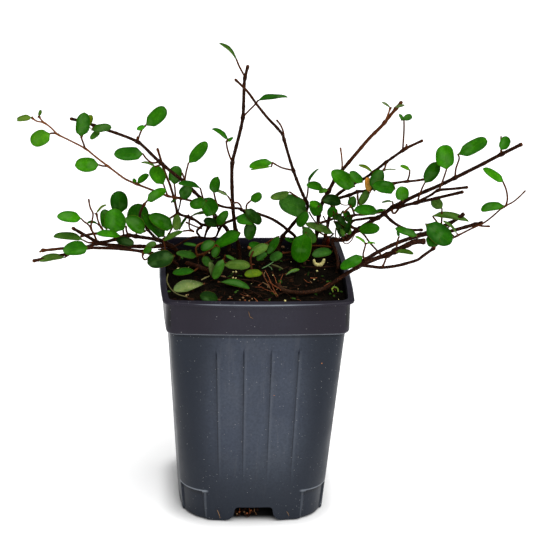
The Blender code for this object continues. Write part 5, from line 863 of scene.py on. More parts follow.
def leaf_material(name, looks):
    """Green blades with a pale midrib, side veins, blotches, a thin yellow-brown rim, and painted shade, sheen
    and glints.
    """
    sh = Shader(name, Specular_IOR_Level=0.025)
    along, across, under = sh.split(sh.attribute("blade"))
    aside, tint = sh.size(across), sh.attribute("tint", "Color")
    broad, fine = sh.noise(260.0), sh.noise(1500.0, detail=4.0)
    rib, veins = leaf_veins(sh, along, aside)
    # Painted shade: a mask that makes one side of each blade darker, as if the light fell from the other side.
    lean = sh.plus(across, sh.centred(sh.noise(150.0), 3.0))
    # Painted shade: blades turn darker towards their margin, as where a curved blade turns from the light.
    margin = sh.plus(aside, sh.centred(broad, 0.5))
    # A painted sheen: pale patches over the middle of each blade, standing in for gloss.
    painted_sheen = sh.times(sh.ramp(sh.noise(120.0, detail=2.0), 0.48, 0.66), sh.fall(margin, 0.35, 0.9, 0.5))
    # Painted glints: small pale specks standing in for glossy highlights.
    painted_glints = sh.times(sh.fall(sh.cells(950.0), 0.1, 0.3, 0.5), sh.ramp(broad, 0.4, 0.65))
    blush = sh.times(sh.fall(along, 0.0, 0.12, 0.6), sh.fall(aside, 0.0, 0.5))
    edge = sh.most(sh.ramp(aside, 0.955, 0.995), sh.ramp(along, 0.988, 1.0))
    pale = sh.mix(0.25, tint, (0.16, 0.3, 0.015))
    shade = sh.coats(
        sh.toned(tint, (0.6, 0.68, 0.5)),
        (sh.ramp(broad, 0.32, 0.7), sh.toned(tint, (1.4, 1.25, 1.1))),
        (sh.ramp(fine, 0.35, 0.75, 0.0, 0.35), sh.toned(tint, (1.6, 1.35, 1.1))),
        (sh.ramp(lean, -0.9, 0.9, 0.0, 0.5), sh.toned(tint, (0.45, 0.52, 0.4))),
        (sh.ramp(margin, 0.45, 0.95, 0.0, 0.55), sh.toned(tint, (0.35, 0.48, 0.5))),
        (painted_sheen, sh.mix(0.5, tint, (0.12, 0.24, 0.07))),
        (painted_glints, sh.toned(tint, (3.2, 1.7, 4.0))),
        (sh.times(veins, 0.1), pale),
        (sh.times(rib, 0.2), pale),
        (blush, (0.16, 0.06, 0.025)),
        (sh.times(edge, 0.38), looks.rim))
    lines = sh.times(sh.math("ADD", veins, rib, clamp=True), 0.3)
    back = sh.mix(lines, sh.mix(0.4, tint, (0.08, 0.16, 0.025)), (0.14, 0.22, 0.04))
    rough = sh.plus(sh.ramp(fine, 0.3, 0.8, 0.3, 0.46), sh.times(under, 0.16))
    relief = sh.minus(sh.plus(sh.times(veins, -0.5), sh.times(fine, 0.3)), sh.times(rib, 0.8))
    return sh.finish(sh.mix(under, shade, back), rough, relief, 0.5, 0.00018)


def bark_material(name, looks):
    """Near-black old bark that turns red-brown on twigs and stalks, with rubbed streaks and pale dots."""
    sh = Shader(name, Specular_IOR_Level=0.025)
    age = sh.attribute("age", "Fac")
    broad, fine = sh.noise(170.0), sh.noise(1900.0, detail=5.0, rough=0.65)
    uneven = sh.plus(age, sh.centred(broad, 0.6))
    low = sh.fall(sh.split(sh.place)[2], 0.106, 0.119, 0.75)
    dots = sh.fall(sh.cells(900.0), 0.08, 0.2, 0.3)
    base = sh.coats(
        looks.young,
        (sh.ramp(uneven, 0.1, 0.85), looks.old),
        (sh.fall(uneven, -0.9, 0.1), looks.shoot),
        (sh.times(low, sh.ramp(broad, 0.35, 0.6, 0.3, 1.0)), looks.dusty),
        (sh.ramp(fine, 0.5, 0.78, 0.0, 0.42), looks.wear_and_highlight))
    base = sh.coats(
        base,
        (sh.fall(fine, 0.25, 0.45, 0.4), sh.toned(base, (0.4, 0.36, 0.34))),
        (sh.times(dots, sh.ramp(age, 0.0, 1.0)), (0.26, 0.15, 0.09)))
    return sh.finish(base, sh.ramp(fine, 0.3, 0.7, 0.42, 0.66), fine, 0.6, 0.00012)


def groove_shade_and_highlight(sh, base, looks, place, reach):
    """Painted shade down the soft side and the deepest line of each groove, and a painted highlight down its
    sharp side.
    """
    across, deep, height = place
    on_x = sh.math("GREATER_THAN", *reach)
    one = sh.times(sh.math("SIGN", across), deep, on_x)
    other = sh.times(sh.math("SIGN", deep), across, sh.minus(on_x, 1.0))
    half = sh.plus(sh.times(height, (BODY_HALF - BASE_HALF) / BAND_FOOT), BASE_HALF * MM)
    aside = sh.math("DIVIDE", sh.plus(one, other), half)
    pitch = (GROOVES[1] - GROOVES[0]) / BODY_HALF
    mark = sh.math("FRACT", sh.plus(sh.math("DIVIDE", aside, pitch), len(GROOVES) / 2))
    held = sh.times(sh.math("LESS_THAN", sh.size(aside), pitch * len(GROOVES) / 2),
                    sh.ramp(height, 0.094, 0.088), sh.ramp(height, 0.018, 0.045))
    # Painted shade: the soft side and the deepest line of each groove are darkened.
    soft = sh.times(sh.ramp(mark, 0.26, 0.5), sh.math("LESS_THAN", mark, 0.505))
    line = sh.times(sh.ramp(mark, 0.47, 0.495), sh.fall(mark, 0.505, 0.53))
    # Painted highlight: a pale line down the sharp side of each groove.
    sharp_side_highlight = sh.times(sh.ramp(mark, 0.515, 0.545), sh.fall(mark, 0.56, 0.66))
    return sh.coats(
        base,
        (sh.times(soft, held, 0.34), (0.01, 0.012, 0.018)),
        (sh.times(line, held, 0.55), (0.008, 0.009, 0.012)),
        (sh.times(sharp_side_highlight, held, 0.11), looks.wear_and_highlight))


def edge_highlights_and_shade(sh, base, looks, place, cloud):
    """Painted highlights along the ledges, the lip and the corners of the feet, with painted shade beneath the
    ledges.
    """
    near, far, height = place
    beside = sh.ramp(near, 0.0215, 0.0235)
    ledge = sh.times(sh.strip(height, 0.0164, 0.0171, 0.0004), beside)
    shoulder = sh.times(sh.strip(height, 0.1012, 0.1017, 0.0003), 0.8)
    dip = sh.times(sh.minus(1.0, sh.math("POWER", sh.math("DIVIDE", near, 0.0385), 2.0)), RIM_DIP * MM)
    lip = sh.times(sh.ramp(sh.plus(height, dip), 0.1175, 0.1179), sh.ramp(far, 0.0447, 0.0450))
    centre = (BASE_HALF - SIDE_BOW - BASE_CORNER) * MM
    angle = sh.math("ARCTAN2", sh.minus(near, centre), sh.minus(far, centre))
    upright = sh.times(sh.strip(angle, FOOT_TURN + 0.01, FOOT_TURN + 0.04, 0.03),
                       sh.strip(height, 0.003, 0.0162, 0.002), 0.25)
    # Painted highlights: pale lines along the ledges, the lip and the feet's corners, as where edges catch the
    # light.
    wear_and_highlight = sh.times(sh.most(ledge, shoulder, lip, upright), sh.ramp(cloud, 0.3, 0.6, 0.45, 0.85))
    # Painted shade: dark lines under the band's ledge and under the feet's ledges.
    under = sh.most(sh.strip(height, 0.0998, 0.1008, 0.0006),
                    sh.times(sh.strip(height, 0.0145, 0.0158, 0.0008), beside))
    return sh.coats(base, (sh.times(under, 0.5), (0.006, 0.007, 0.01)), (wear_and_highlight, looks.wear_and_highlight))


def inner_wall_shade(sh, near, far, height):
    """Mask of the walls' inner side above the soil, for painting shade there."""
    bend = sh.math("POWER", sh.math("DIVIDE", near, (BAND_HALF - SIDE_BOW - LIP_CORNER) * MM), 2.0)
    wall = sh.plus(sh.times(bend, -SIDE_BOW * MM), (BAND_HALF - WALL / 2) * MM)
    return sh.times(sh.math("LESS_THAN", far, wall), sh.ramp(height, 0.104, 0.106),
                    sh.fall(height, 0.1135, 0.117))


def pot_material(name, looks):
    """Satin slate plastic with faint drawn streaks, a mottle, fine dust and orange specks, and painted light
    and shade.
    """
    sh = Shader(name, Specular_IOR_Level=0.16)
    broad, cloud = sh.noise(14.0, detail=4.0), sh.noise(90.0, detail=5.0)
    streak, fine = sh.noise(1.0, stretch=(420.0, 420.0, 22.0)), sh.noise(2600.0, detail=2.0)
    across, deep, height = sh.split(sh.place)
    wide, long = sh.size(across), sh.size(deep)
    near, far = sh.math("MINIMUM", wide, long), sh.most(wide, long)
    # Painted light: each side is lighter in its middle and darker towards its corners, its top and its foot.
    middle = sh.times(sh.fall(near, 0.01, 0.034), sh.ramp(height, 0.1, 0.07, 0.75, 1.0),
                      sh.ramp(height, 0.004, 0.06, 0.1, 1.0))
    base = sh.coats(
        sh.toned(looks.plastic, (0.84, 0.85, 0.9)),
        (sh.ramp(broad, 0.3, 0.7), sh.toned(looks.plastic, (1.25, 1.24, 1.18))),
        (sh.ramp(cloud, 0.45, 0.75, 0.0, 0.25), (0.075, 0.08, 0.095)),
        (sh.ramp(sh.noise(900.0, detail=2.0), 0.35, 0.7, 0.0, 0.3), (0.015, 0.018, 0.026)),
        (sh.ramp(streak, 0.56, 0.72, 0.0, 0.22), (0.095, 0.1, 0.115)),
        (sh.fall(middle, 0.0, 1.0, 0.88), (0.006, 0.009, 0.016)))
    base = groove_shade_and_highlight(sh, base, looks, (across, deep, height), (wide, long))
    base = sh.mix(sh.times(sh.ramp(height, 0.1006, 0.1018), 0.78), base, (0.012, 0.008, 0.015))
    base = edge_highlights_and_shade(sh, base, looks, (near, far, height), cloud)
    spot, pick = sh.cells(620.0), sh.split(sh.cells(620.0, "Color"))
    dust = sh.times(sh.fall(spot, 0.055, 0.12), sh.ramp(pick[0], 0.25, 1.0))
    orange = sh.times(sh.fall(spot, 0.1, 0.16), sh.ramp(pick[1], 0.996, 0.997))
    base = sh.coats(
        base,
        # painted shade: the inner walls above the soil turned near black
        (inner_wall_shade(sh, near, far, height), (0.004, 0.004, 0.006)),
        (sh.times(dust, 0.7), looks.dust),
        (orange, looks.rust))
    rough = sh.plus(sh.ramp(cloud, 0.3, 0.75, 0.36, 0.5), sh.times(dust, 0.3))
    grain = sh.plus(sh.times(fine, 0.25), sh.times(streak, 0.3))
    return sh.finish(base, rough, grain, 0.25, 0.00012)


def peat_material(name, looks):
    """Damp, almost black peat with reddish fibres."""
    sh = Shader(name, Specular_IOR_Level=0.02)
    broad, fine = sh.noise(160.0, detail=5.0), sh.noise(1400.0, detail=5.0, rough=0.7)
    base = sh.coats(
        looks.peat,
        (sh.ramp(broad, 0.35, 0.7), (0.006, 0.004, 0.002)),
        (sh.ramp(fine, 0.6, 0.74, 0.0, 0.6), looks.chip))
    return sh.finish(base, sh.ramp(fine, 0.3, 0.7, 0.7, 0.95), sh.plus(fine, broad), 0.9, 0.0004)


def tinted_material(name, rough, low, high, scale):
    """A matt material that takes its colour from each piece's tint, mottled by noise."""
    sh = Shader(name, Specular_IOR_Level=0.03)
    tint = sh.attribute("tint", "Color")
    fine = sh.noise(scale, detail=4.0, rough=0.65)
    base = sh.mix(sh.ramp(fine, 0.3, 0.7), sh.toned(tint, (low,) * 3), sh.toned(tint, (high,) * 3))
    return sh.finish(base, sh.ramp(fine, 0.3, 0.7, rough - 0.1, min(1.0, rough + 0.08)), fine, 0.7, 0.00015)


def floor_material(name, looks):
    """Pale paint that glows a little everywhere but under the pot; the fading glow round the pot and the
    near-black paint under it are painted shadow.
    """
    sh = Shader(name, Roughness=0.85, Specular_IOR_Level=0.1, Emission_Color=(1.0, 1.0, 1.0, 1.0))
    across, deep, _ = sh.split(sh.place)
    centre = (BASE_HALF - SIDE_BOW - BASE_CORNER) * MM
    beyond = [sh.math("POWER", sh.most(sh.minus(sh.size(side), centre), 0.0), 2.0) for side in (across, deep)]
    far = sh.math("SQRT", sh.plus(*beyond))
    plain = sh.mix(sh.ramp(sh.noise(40.0), 0.3, 0.7), [part * 0.99 for part in looks.floor], looks.floor)
    # Painted shadow: the glow fades out round the pot.
    sh.set("Emission Strength", sh.ramp(far, 0.0168, 0.03, 0.0, looks.glow))
    # Painted shade: the paint turns near black under the pot.
    sh.set("Base Color", sh.mix(sh.ramp(far, 0.011, 0.0168), (0.02, 0.02, 0.02), plain))
    return sh.material


def shared(make, name, *values):
    """A material that is made once."""
    return bpy.data.materials.get(name) or make(name, *values)


# Meshes

def new_object(name, mesh):
    """An object for the mesh, in the scene."""
    ob = bpy.data.objects.new(name, mesh)
    bpy.context.scene.collection.objects.link(ob)
    return ob


def kept_mesh(name, bm):
    """A mesh from the bmesh, which is freed."""
    mesh = bpy.data.meshes.new(name)
    bm.to_mesh(mesh)
    bm.free()
    return mesh


def evaluated(ob):
    """Keeps what the object's modifiers make of it as a plain mesh."""
    bpy.context.view_layer.update()
    mesh = bpy.data.meshes.new_from_object(ob.evaluated_get(bpy.context.evaluated_depsgraph_get()))
    ob.modifiers.clear()
    ob.data = mesh


def mesh_of(name, points, edges, faces, floats=(), vectors=(), colours=()):
    """A mesh from points in millimetres, with point attributes."""
    mesh = bpy.data.meshes.new(name)
    mesh.from_pydata([point * MM for point in points], edges, faces)
    for kinds, kind, field in ((floats, "FLOAT", "value"), (vectors, "FLOAT_VECTOR", "vector"),
                               (colours, "FLOAT_COLOR", "color")):
        for key, values in kinds:
            layer = mesh.attributes.new(key, kind, "POINT")
            flat = values if kind == "FLOAT" else [number for value in values for number in value]
            layer.data.foreach_set(field, flat)
    mesh.update()
    return mesh


def paint(ob, tint):
    """One tint for a whole piece."""
    layer = ob.data.attributes.new("tint", "FLOAT_COLOR", "POINT")
    layer.data.foreach_set("color", [*tint, 1.0] * len(ob.data.vertices))


def settle_to(ob, node):
    """Lowers or lifts a loose piece so that its middle is as high as its node's."""
    low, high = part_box(node)
    heights = [vert.co.z for vert in ob.data.vertices]
    shift = (low.z + high.z) / 2 - (min(heights) + max(heights)) / 2
    for vert in ob.data.vertices:
        vert.co.z += shift


def finish_piece(ob, nodes=()):
    """Holds the piece within the model's bounds; smooth shading, the frame's body and the nodes that the piece
    stands for.
    """
    low, high = CAD_BOX
    for vert in ob.data.vertices:
        vert.co = [clamped(at, start, end) for at, start, end in zip(vert.co, low, high)]
    ob.data.shade_smooth()
    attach(ob, BODY)
    if nodes:
        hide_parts(*nodes)


# Stems and leaves

def smooth_run(points, step):
    """Points about step apart on a smooth curve through the given points, and how far along each is."""
    run, marks, count = [points[0]], [0.0], len(points) - 1
    for i in range(count):
        before, start, end = points[max(i - 1, 0)], points[i], points[i + 1]
        after = points[min(i + 2, count)]
        span = (end - start).length
        leave = (end - before) * (span / max((end - before).length, 1e-6))
        arrive = (after - start) * (span / max((after - start).length, 1e-6))
        pieces = max(1, round(span / step))
        for k in range(1, pieces + 1):
            t = k / pieces
            run.append(start * (2 * t**3 - 3 * t**2 + 1) + leave * (t**3 - 2 * t**2 + t)
                       + end * (3 * t**2 - 2 * t**3) + arrive * (t**3 - t**2))
            marks.append((i + t) / count)
    return run, marks


def sunk(start, after):
    """The start of a twig or stalk, moved a little deeper into what it grows from."""
    return start - (after - start).normalized() * SUNK_TWIG


def stem_points(entry):
    """The stem's points in space, from the foot of its root to its tip."""
    thick, _, root, places = entry
    points = []
    if root:
        place = on_soil(*root, 0.0)
        points = [Vector((place.x, place.y, z)) for z in (SOIL_TOP - ROOT_DEPTH, place.z + ROOT_NECK)]
    for u, v, y in places:
        points.append(on_soil(u, v, thick / 2 + LAID_LIFT) if y is S else at_depth(u, v, y))
    if not root:
        points[0] = sunk(points[0], points[1])
    return points


def stem_route(entry):
    """The stem's points as places on the sheet with their depths."""
    _, _, root, listed = entry
    places = ([(*root, S)] if root else []) + list(listed)
    return [(u, v, on_soil(u, v, 1.0).y if y is S else y) for u, v, y in places]


def nearest_on(routes, u, v):
    """The place on any of the routes that shows nearest to (u, v)."""
    best = None
    for route in routes:
        for a, b in zip(route, route[1:]):
            run = Vector((b[0] - a[0], b[1] - a[1]))
            part = (Vector((u, v)) - Vector(a[:2])).dot(run) / max(run.length_squared, 1e-9)
            spot = Vector(a).lerp(Vector(b), clamped(part))
            distance = math.hypot(spot.x - u, spot.y - v)
            if best is None or distance < best[0]:
                best = (distance, spot)
    return best[1]


def leaf_frame(base, tip, roll):
    """The blade's across direction and its upper face's normal, turned by roll from facing the viewer."""
    along = (tip - base).normalized()
    facing = EYE - base
    facing = (facing - along * facing.dot(along)).normalized()
    side = along.cross(facing)
    if side.z < 0:
        side = -side
    normal = facing * math.cos(roll) + side * math.sin(roll)
    return along.cross(normal), normal


class Blade:
    """The wavy, folded surface of one blade, each a little different."""

    def __init__(self, rnd, base, tip, width, frame_of, wedge, shape):
        self.base, self.along, self.width, self.wedge = base, tip - base, width, wedge
        self.length, (self.side, self.normal) = self.along.length, frame_of
        self.lean, self.blunt = rnd.uniform(0.95, 1.25), rnd.uniform(2.1, 2.6)
        if shape:
            self.lean, self.blunt = shape
        self.waves, self.phases = rnd.uniform(0.9, 1.5), (rnd.uniform(0, 6.3), rnd.uniform(0, 6.3))
        self.wave_height, self.droop = width * rnd.uniform(0.02, 0.05), rnd.uniform(-0.02, 0.05)
        self.twist, self.curl = rnd.uniform(-0.12, 0.12), rnd.uniform(-0.05, 0.1)
        self.sway = rnd.uniform(-0.03, 0.03)

    def half_width(self, t):
        """How far the blade reaches from its midrib, a share t along it."""
        outline = max(BLADE_BLUNT, 1.0 - abs(2 * t**self.lean - 1) ** self.blunt) ** 0.5
        return outline * min(1.0, BLADE_FOOT + self.wedge * t) * self.width / 2

    def rise(self, t, s, reach):
        """How high the folded, waved and quilted blade stands at s, from -1 to 1 across it."""
        aside, width = abs(s), self.width
        fold = BLADE_FOLD * reach * (math.sqrt(s * s + FOLD_SOFT) - FOLD_LOW)
        phase = self.phases[0] if s > 0 else self.phases[1]
        wave = self.wave_height * aside * aside * math.sin(2 * math.pi * self.waves * t + phase)
        veins = math.sin(2 * math.pi * (VEIN_COUNT * t - VEIN_SLANT * aside**VEIN_BEND))
        quilt = VEIN_RISE * width * veins * aside * (1 - aside) * 2
        return fold + wave + self.curl * width * aside**3 + quilt

    def at(self, t, s):
        """The point of the middle surface a share t along the blade and s across it."""
        t = clamped(t)
        reach = self.half_width(t)
        lift = self.length * BLADE_ARCH * 4 * t * (1 - t) - self.droop * self.length * t * t
        swing = self.side * (self.sway * self.length * math.sin(math.pi * t))
        spine = self.base + self.along * t + self.normal * lift + swing
        rise, turn = self.rise(t, s, reach), self.twist * (t - TWIST_FROM)
        return (spine + self.side * (reach * s * math.cos(turn) - rise * math.sin(turn))
                + self.normal * (rise * math.cos(turn) + reach * s * math.sin(turn)))

    def up(self, t, s):
        """The upward direction of the surface."""
        across = self.at(t, min(1.0, s + 0.05)) - self.at(t, max(-1.0, s - 0.05))
        up = (self.at(t + 0.02, s) - self.at(t - 0.02, s)).cross(across)
        up = up.normalized() if up.length > 1e-9 else self.normal
        return -up if up.dot(self.normal) < 0 else up

    def ring(self, t, columns, thick):
        """Points across the upper face and back under it, each with its place on the blade."""
        for face in (0, 1):
            for k in range(columns + 1):
                s = 2 * k / columns - 1
                s = math.sin(s * math.pi / 2) * 0.4 + s * 0.6
                if face:
                    s = -s
                half = thick / 2 * (1.0 - EDGE_THIN * abs(s)) * (1.0 - TIP_THIN * t)
                yield self.at(t, s) + self.up(t, s) * (-half if face else half), (t, s, float(face))


class Growth:
    """Collects blades as faces, and stems and stalks as lines with a thickness and an age."""

    def __init__(self, scene, seed, fresh=(0.0, 0.0), shape=None):
        self.leaves, self.stems = scene.vine_leaves, scene.vine_stems
        self.random, self.fresh, self.shape = random.Random(seed), fresh, shape
        self.points, self.faces, self.blade, self.tint = [], [], [], []
        self.line_points, self.lines, self.thick, self.age = [], [], [], []

    def line(self, points, radii, ages=0.0):
        """A stem or stalk, with one age or an age at each point."""
        first = len(self.line_points)
        self.line_points += points
        self.lines += [(first + i, first + i + 1) for i in range(len(points) - 1)]
        self.thick += [radius * MM for radius in radii]
        self.age += ages if isinstance(ages, list) else [ages] * len(points)

    def freshness(self, point):
        """How much younger than usual the bark is at a point."""
        whole_piece, outward = self.fresh
        far = (math.hypot(point.x, point.z - SOIL_TOP) - FRESH_FROM) / FRESH_SPAN
        return whole_piece + outward * clamped(far)

    def add_stem(self, entry, joins):
        """A tapering stem that swells where twigs and leaves grow from it."""
        thick, thin = entry[:2]
        run, marks = smooth_run(stem_points(entry), self.stems.step / MM)
        knots = [join for join in joins if min((join - point).length for point in run) < KNOT_REACH]
        radii, ages, phase, travelled = [], [], self.random.random() * 6.0, 0.0
        for i, (point, mark) in enumerate(zip(run, marks)):
            travelled += (point - run[i - 1]).length if i else 0.0
            wide = thick + (thin - thick) * mark
            stout = clamped((wide - STOUT_FROM) / STOUT_SPAN)
            radius = wide / 2 * (SLIM_FULLNESS + (self.stems.fullness - SLIM_FULLNESS) * stout)
            swell = sum(math.exp(-((join - point).length / KNOT_SPREAD) ** 2) for join in knots)
            beat = (travelled + phase) % NODE_EVERY - NODE_EVERY / 2
            swell += math.exp(-(beat / NODE_SPREAD) ** 2) * NODE_RISE * stout
            lumps = LUMP_HEIGHT * noise.noise(point * LUMP_SCALE)
            radii.append(radius * (BARK_LOW + self.stems.knob * min(1.0, swell) + lumps))
            ages.append(clamped((wide - OLD_FROM) / OLD_SPAN - self.freshness(point), -1.0))
        for back, part in STEM_END:
            radii[-back] *= part
        ages[-1] = 0.0
        self.line(run, radii, ages)

    def add_twig(self, row, routes):
        """A short twig, at the depth of the stems nearest to it."""
        thick, near, age, places = row
        depths = [at_depth(u, v, nearest_on(routes, u, v).z + near).y for u, v in places]
        middle = sum(depths) / len(depths)
        points = [at_depth(u, v, middle + (depth - middle) * TWIG_DEPTH)
                  for (u, v), depth in zip(places, depths)]
        run, marks = smooth_run(points, self.stems.step / MM)
        self.line(run, [thick / 2 * (TWIG_FOOT - TWIG_TAPER * mark) for mark in marks], age)

    def add_leaf(self, row, routes):
        """One blade with the stalk that carries it, and where the stalk starts."""
        tone, base_at, tip_at, width, out, lean, roll, stalk = row
        first, *stops = stalk or (base_at,)
        start = nearest_on(routes, *first)
        drawn = [tuple(start)]
        for step, (u, v) in enumerate(stops, 1):
            drawn.append((u, v, start.z + out * step / (len(stops) + 1)))
        drawn.append((*base_at, start.z + out))
        path = [at_depth(*spot) for spot in drawn]
        base, tip = path[-1], at_depth(*tip_at, start.z + out + lean)
        if (base - path[0]).length < SUNK_STALK:
            path = [base - (tip - base).normalized() * SUNK_STALK, base]
        else:
            path[0] = sunk(path[0], path[1])
            routes.append(drawn)
        self.add_blade(tone, base, tip, width, roll, path[:-1])
        return path[0]

    def add_blade(self, tone, base, tip, width, roll, path, wedge=BLADE_WEDGE):
        """A blade with its midrib running on from the stalk."""
        frame_of, reach = leaf_frame(base, tip, math.radians(roll)), self.leaves.overlap
        base, tip, width = base.lerp(tip, -reach), base.lerp(tip, 1.0 + reach), width * BLADE_FULL
        small = width < SMALL_BLADE
        rows, columns = (count // (2 if small else 1) for count in (self.leaves.rows, self.leaves.columns))
        blade = Blade(self.random, base, tip, width, frame_of, wedge, self.shape)
        self.add_shell(blade, rows, columns)
        self.add_tint(tone, 2 * (columns + 1) * (rows + 1))
        run = smooth_run(path + [base], STALK_STEP)[0]
        radius, thick = self.stems.stalk / MM / 2, self.leaves.blade / MM
        radii = [radius * (STALK_FOOT - STALK_TAPER * i / len(run)) for i in range(len(run))]
        radii[0] *= STALK_FLARE
        for t, left in SMALL_RIB if small else RIB:
            run.append(blade.at(t, 0.0) - blade.normal * (thick * RIB_SUNK))
            radii.append(radius * left)
        self.line(run, radii, STALK_AGE)

    def add_shell(self, blade, rows, columns):
        """The blade as a closed shell."""
        first, ring = len(self.points), 2 * (columns + 1)
        for k in range(rows + 1):
            t = 0.5 - 0.5 * math.cos(math.pi * (ROWS_FROM + ROWS_SPAN * k / rows))
            for point, place in blade.ring(t, columns, self.leaves.blade / MM):
                self.points.append(point)
                self.blade.append(place)
        for lower in range(first, first + rows * ring, ring):
            for i in range(ring):
                j = (i + 1) % ring
                self.faces.append((lower + i, lower + ring + i, lower + ring + j, lower + j))
        ends = first + rows * ring
        self.faces += [tuple(range(first, first + ring)), tuple(range(ends, ends + ring))[::-1]]

    def add_tint(self, tone, count):
        """The tone's colour, a little lighter or darker and warmer or cooler, for each point."""
        red, green, blue = getattr(self.leaves, tone)
        shift, warm = self.random.uniform(0.86, 1.16), self.random.uniform(0.9, 1.12)
        tint = (min(1.0, red * shift * warm), min(1.0, green * shift), min(1.0, blue * shift / warm), 1.0)
        self.tint += [tint] * count

    def line_mesh(self, name, tints=()):
        """The lines as a mesh of edges."""
        colours = (("tint", tints),) if tints else ()
        return mesh_of(name, self.line_points, self.lines, [],
                       floats=(("thick", self.thick), ("age", self.age)), colours=colours)

    def blade_mesh(self, name):
        """The blades as closed shells."""
        mesh = mesh_of(name, self.points, [], self.faces, vectors=(("blade", self.blade),),
                       colours=(("tint", self.tint),))
        bm = bmesh.new()
        bm.from_mesh(mesh)
        bmesh.ops.recalc_face_normals(bm, faces=bm.faces)
        bm.to_mesh(mesh)
        bm.free()
        return mesh


# Node trees

class Tree:
    """A geometry node tree and short ways to wire it."""

    def __init__(self, name):
        self.tree = bpy.data.node_groups.new(name, "GeometryNodeTree")
        self.start = self.tree.nodes.new("NodeGroupInput")
        self.end = self.tree.nodes.new("NodeGroupOutput")
        self.sockets = {}
        self.socket("Geometry", "NodeSocketGeometry")
        self.tree.interface.new_socket("Geometry", in_out="OUTPUT", socket_type="NodeSocketGeometry")

    def socket(self, name, kind, default=None):
        """A named input."""
        made = self.tree.interface.new_socket(name, in_out="INPUT", socket_type=kind)
        if default is not None:
            made.default_value = default
        self.sockets[name] = made.identifier
        return self.start.outputs[name]

    def new_node(self, kind, links=(), **values):
        """A node with its settings and its inputs, each a link or a constant."""
        made = self.tree.nodes.new(kind)
        for key, value in values.items():
            setattr(made, key, value)
        for key, value in dict(links).items():
            if isinstance(value, bpy.types.NodeSocket):
                self.tree.links.new(value, made.inputs[key])
            else:
                made.inputs[key].default_value = value
        return made

    def node(self, kind, links=(), **values):
        """The first output of a new node."""
        return self.new_node(kind, links, **values).outputs[0]

    def scaled(self, vector, by):
        """The vector times a number."""
        return self.node("ShaderNodeVectorMath", {0: vector, "Scale": by}, operation="SCALE")

    def shifted_noise(self, scale):
        """Noise that lies evenly about 0."""
        value = self.node("ShaderNodeTexNoise", {"Scale": scale, "Detail": 2.0})
        return self.node("ShaderNodeMath", {0: value, 1: 0.5}, operation="SUBTRACT")

    def pushed(self, geometry, distance):
        """The geometry moved along its normals."""
        offset = self.scaled(self.node("GeometryNodeInputNormal"), distance)
        return self.node("GeometryNodeSetPosition", {0: geometry, "Offset": offset})

    def random_vector(self, seed, low, high):
        """A vector that differs from point to point."""
        return self.node("FunctionNodeRandomValue", {0: low, 1: high, "Seed": seed},
                         data_type="FLOAT_VECTOR")

    def close(self, geometry, material):
        """Ends the tree in Realize Instances and Set Material."""
        real = self.node("GeometryNodeRealizeInstances", {0: geometry})
        dressed = self.node("GeometryNodeSetMaterial", {0: real, "Material": material})
        self.tree.links.new(dressed, self.end.inputs[0])
        return self

    def run(self, ob, **inputs):
        """Evaluates the tree on the object and keeps the result as a plain mesh."""
        modifier = ob.modifiers.new(self.tree.name, "NODES")
        modifier.node_group = self.tree
        for key, value in inputs.items():
            modifier[self.sockets[key]] = value
        evaluated(ob)
        return ob


def tube_tree(material):
    """Lines with a thickness become round tubes with a fine grain."""
    tree = Tree("round_stems")
    sides = tree.socket("Sides", "NodeSocketInt", 10)
    grain = tree.socket("Grain", "NodeSocketFloat", 0.00006)
    curve = tree.node("GeometryNodeMeshToCurve", {0: tree.start.outputs["Geometry"]})
    ring = tree.node("GeometryNodeCurvePrimitiveCircle", {"Resolution": sides, "Radius": 1.0})
    thick = tree.node("GeometryNodeInputNamedAttribute", {"Name": "thick"}, data_type="FLOAT")
    tube = tree.node("GeometryNodeCurveToMesh", {"Curve": curve, "Profile Curve": ring, "Scale": thick,
                                                 "Fill Caps": True})
    height = tree.node("ShaderNodeMath", {0: tree.shifted_noise(1600.0), 1: grain}, operation="MULTIPLY")
    return tree.close(tree.pushed(tube, height), material)


def scatter_tree(material):
    """Small lumps scattered on a surface, each with its own size, turn and shade."""
    tree = Tree("scattered_lumps")
    density = tree.socket("Density", "NodeSocketFloat", 1000.0)
    size = tree.socket("Size", "NodeSocketFloat", 0.001)
    tint = tree.socket("Tint", "NodeSocketColor")
    stretch = tree.socket("Stretch", "NodeSocketFloat", 1.0)
    seed = tree.socket("Seed", "NodeSocketInt", 0)
    level = tree.socket("Level", "NodeSocketInt", 1)
    points = tree.node("GeometryNodeDistributePointsOnFaces",
                       {0: tree.start.outputs["Geometry"], "Density": density, "Seed": seed})
    ball = tree.node("GeometryNodeMeshIcoSphere", {"Radius": 0.5, "Subdivisions": level})
    longer = tree.node("ShaderNodeCombineXYZ", {0: stretch, 1: 1.0, 2: 1.0})
    spread = tree.random_vector(seed, (0.4, 0.35, 0.3), (1.1, 0.9, 0.7))
    spread = tree.node("ShaderNodeVectorMath", {0: spread, 1: longer}, operation="MULTIPLY")
    turn = tree.random_vector(seed, (-0.5, -0.5, -3.14), (0.5, 0.5, 3.14))
    placed = tree.node("GeometryNodeInstanceOnPoints",
                       {"Points": points, "Instance": tree.pushed(ball, tree.shifted_noise(2.2)),
                        "Rotation": turn, "Scale": tree.scaled(spread, size)})
    shade = tree.new_node("FunctionNodeRandomValue", {2: 0.35, 3: 1.9, "Seed": seed}, data_type="FLOAT")
    named = tree.node("GeometryNodeStoreNamedAttribute",
                      {0: placed, "Name": "tint", "Value": tree.scaled(tint, shade.outputs[1])},
                      data_type="FLOAT_COLOR", domain="INSTANCE")
    return tree.close(named, material)


# Pieces of the plant

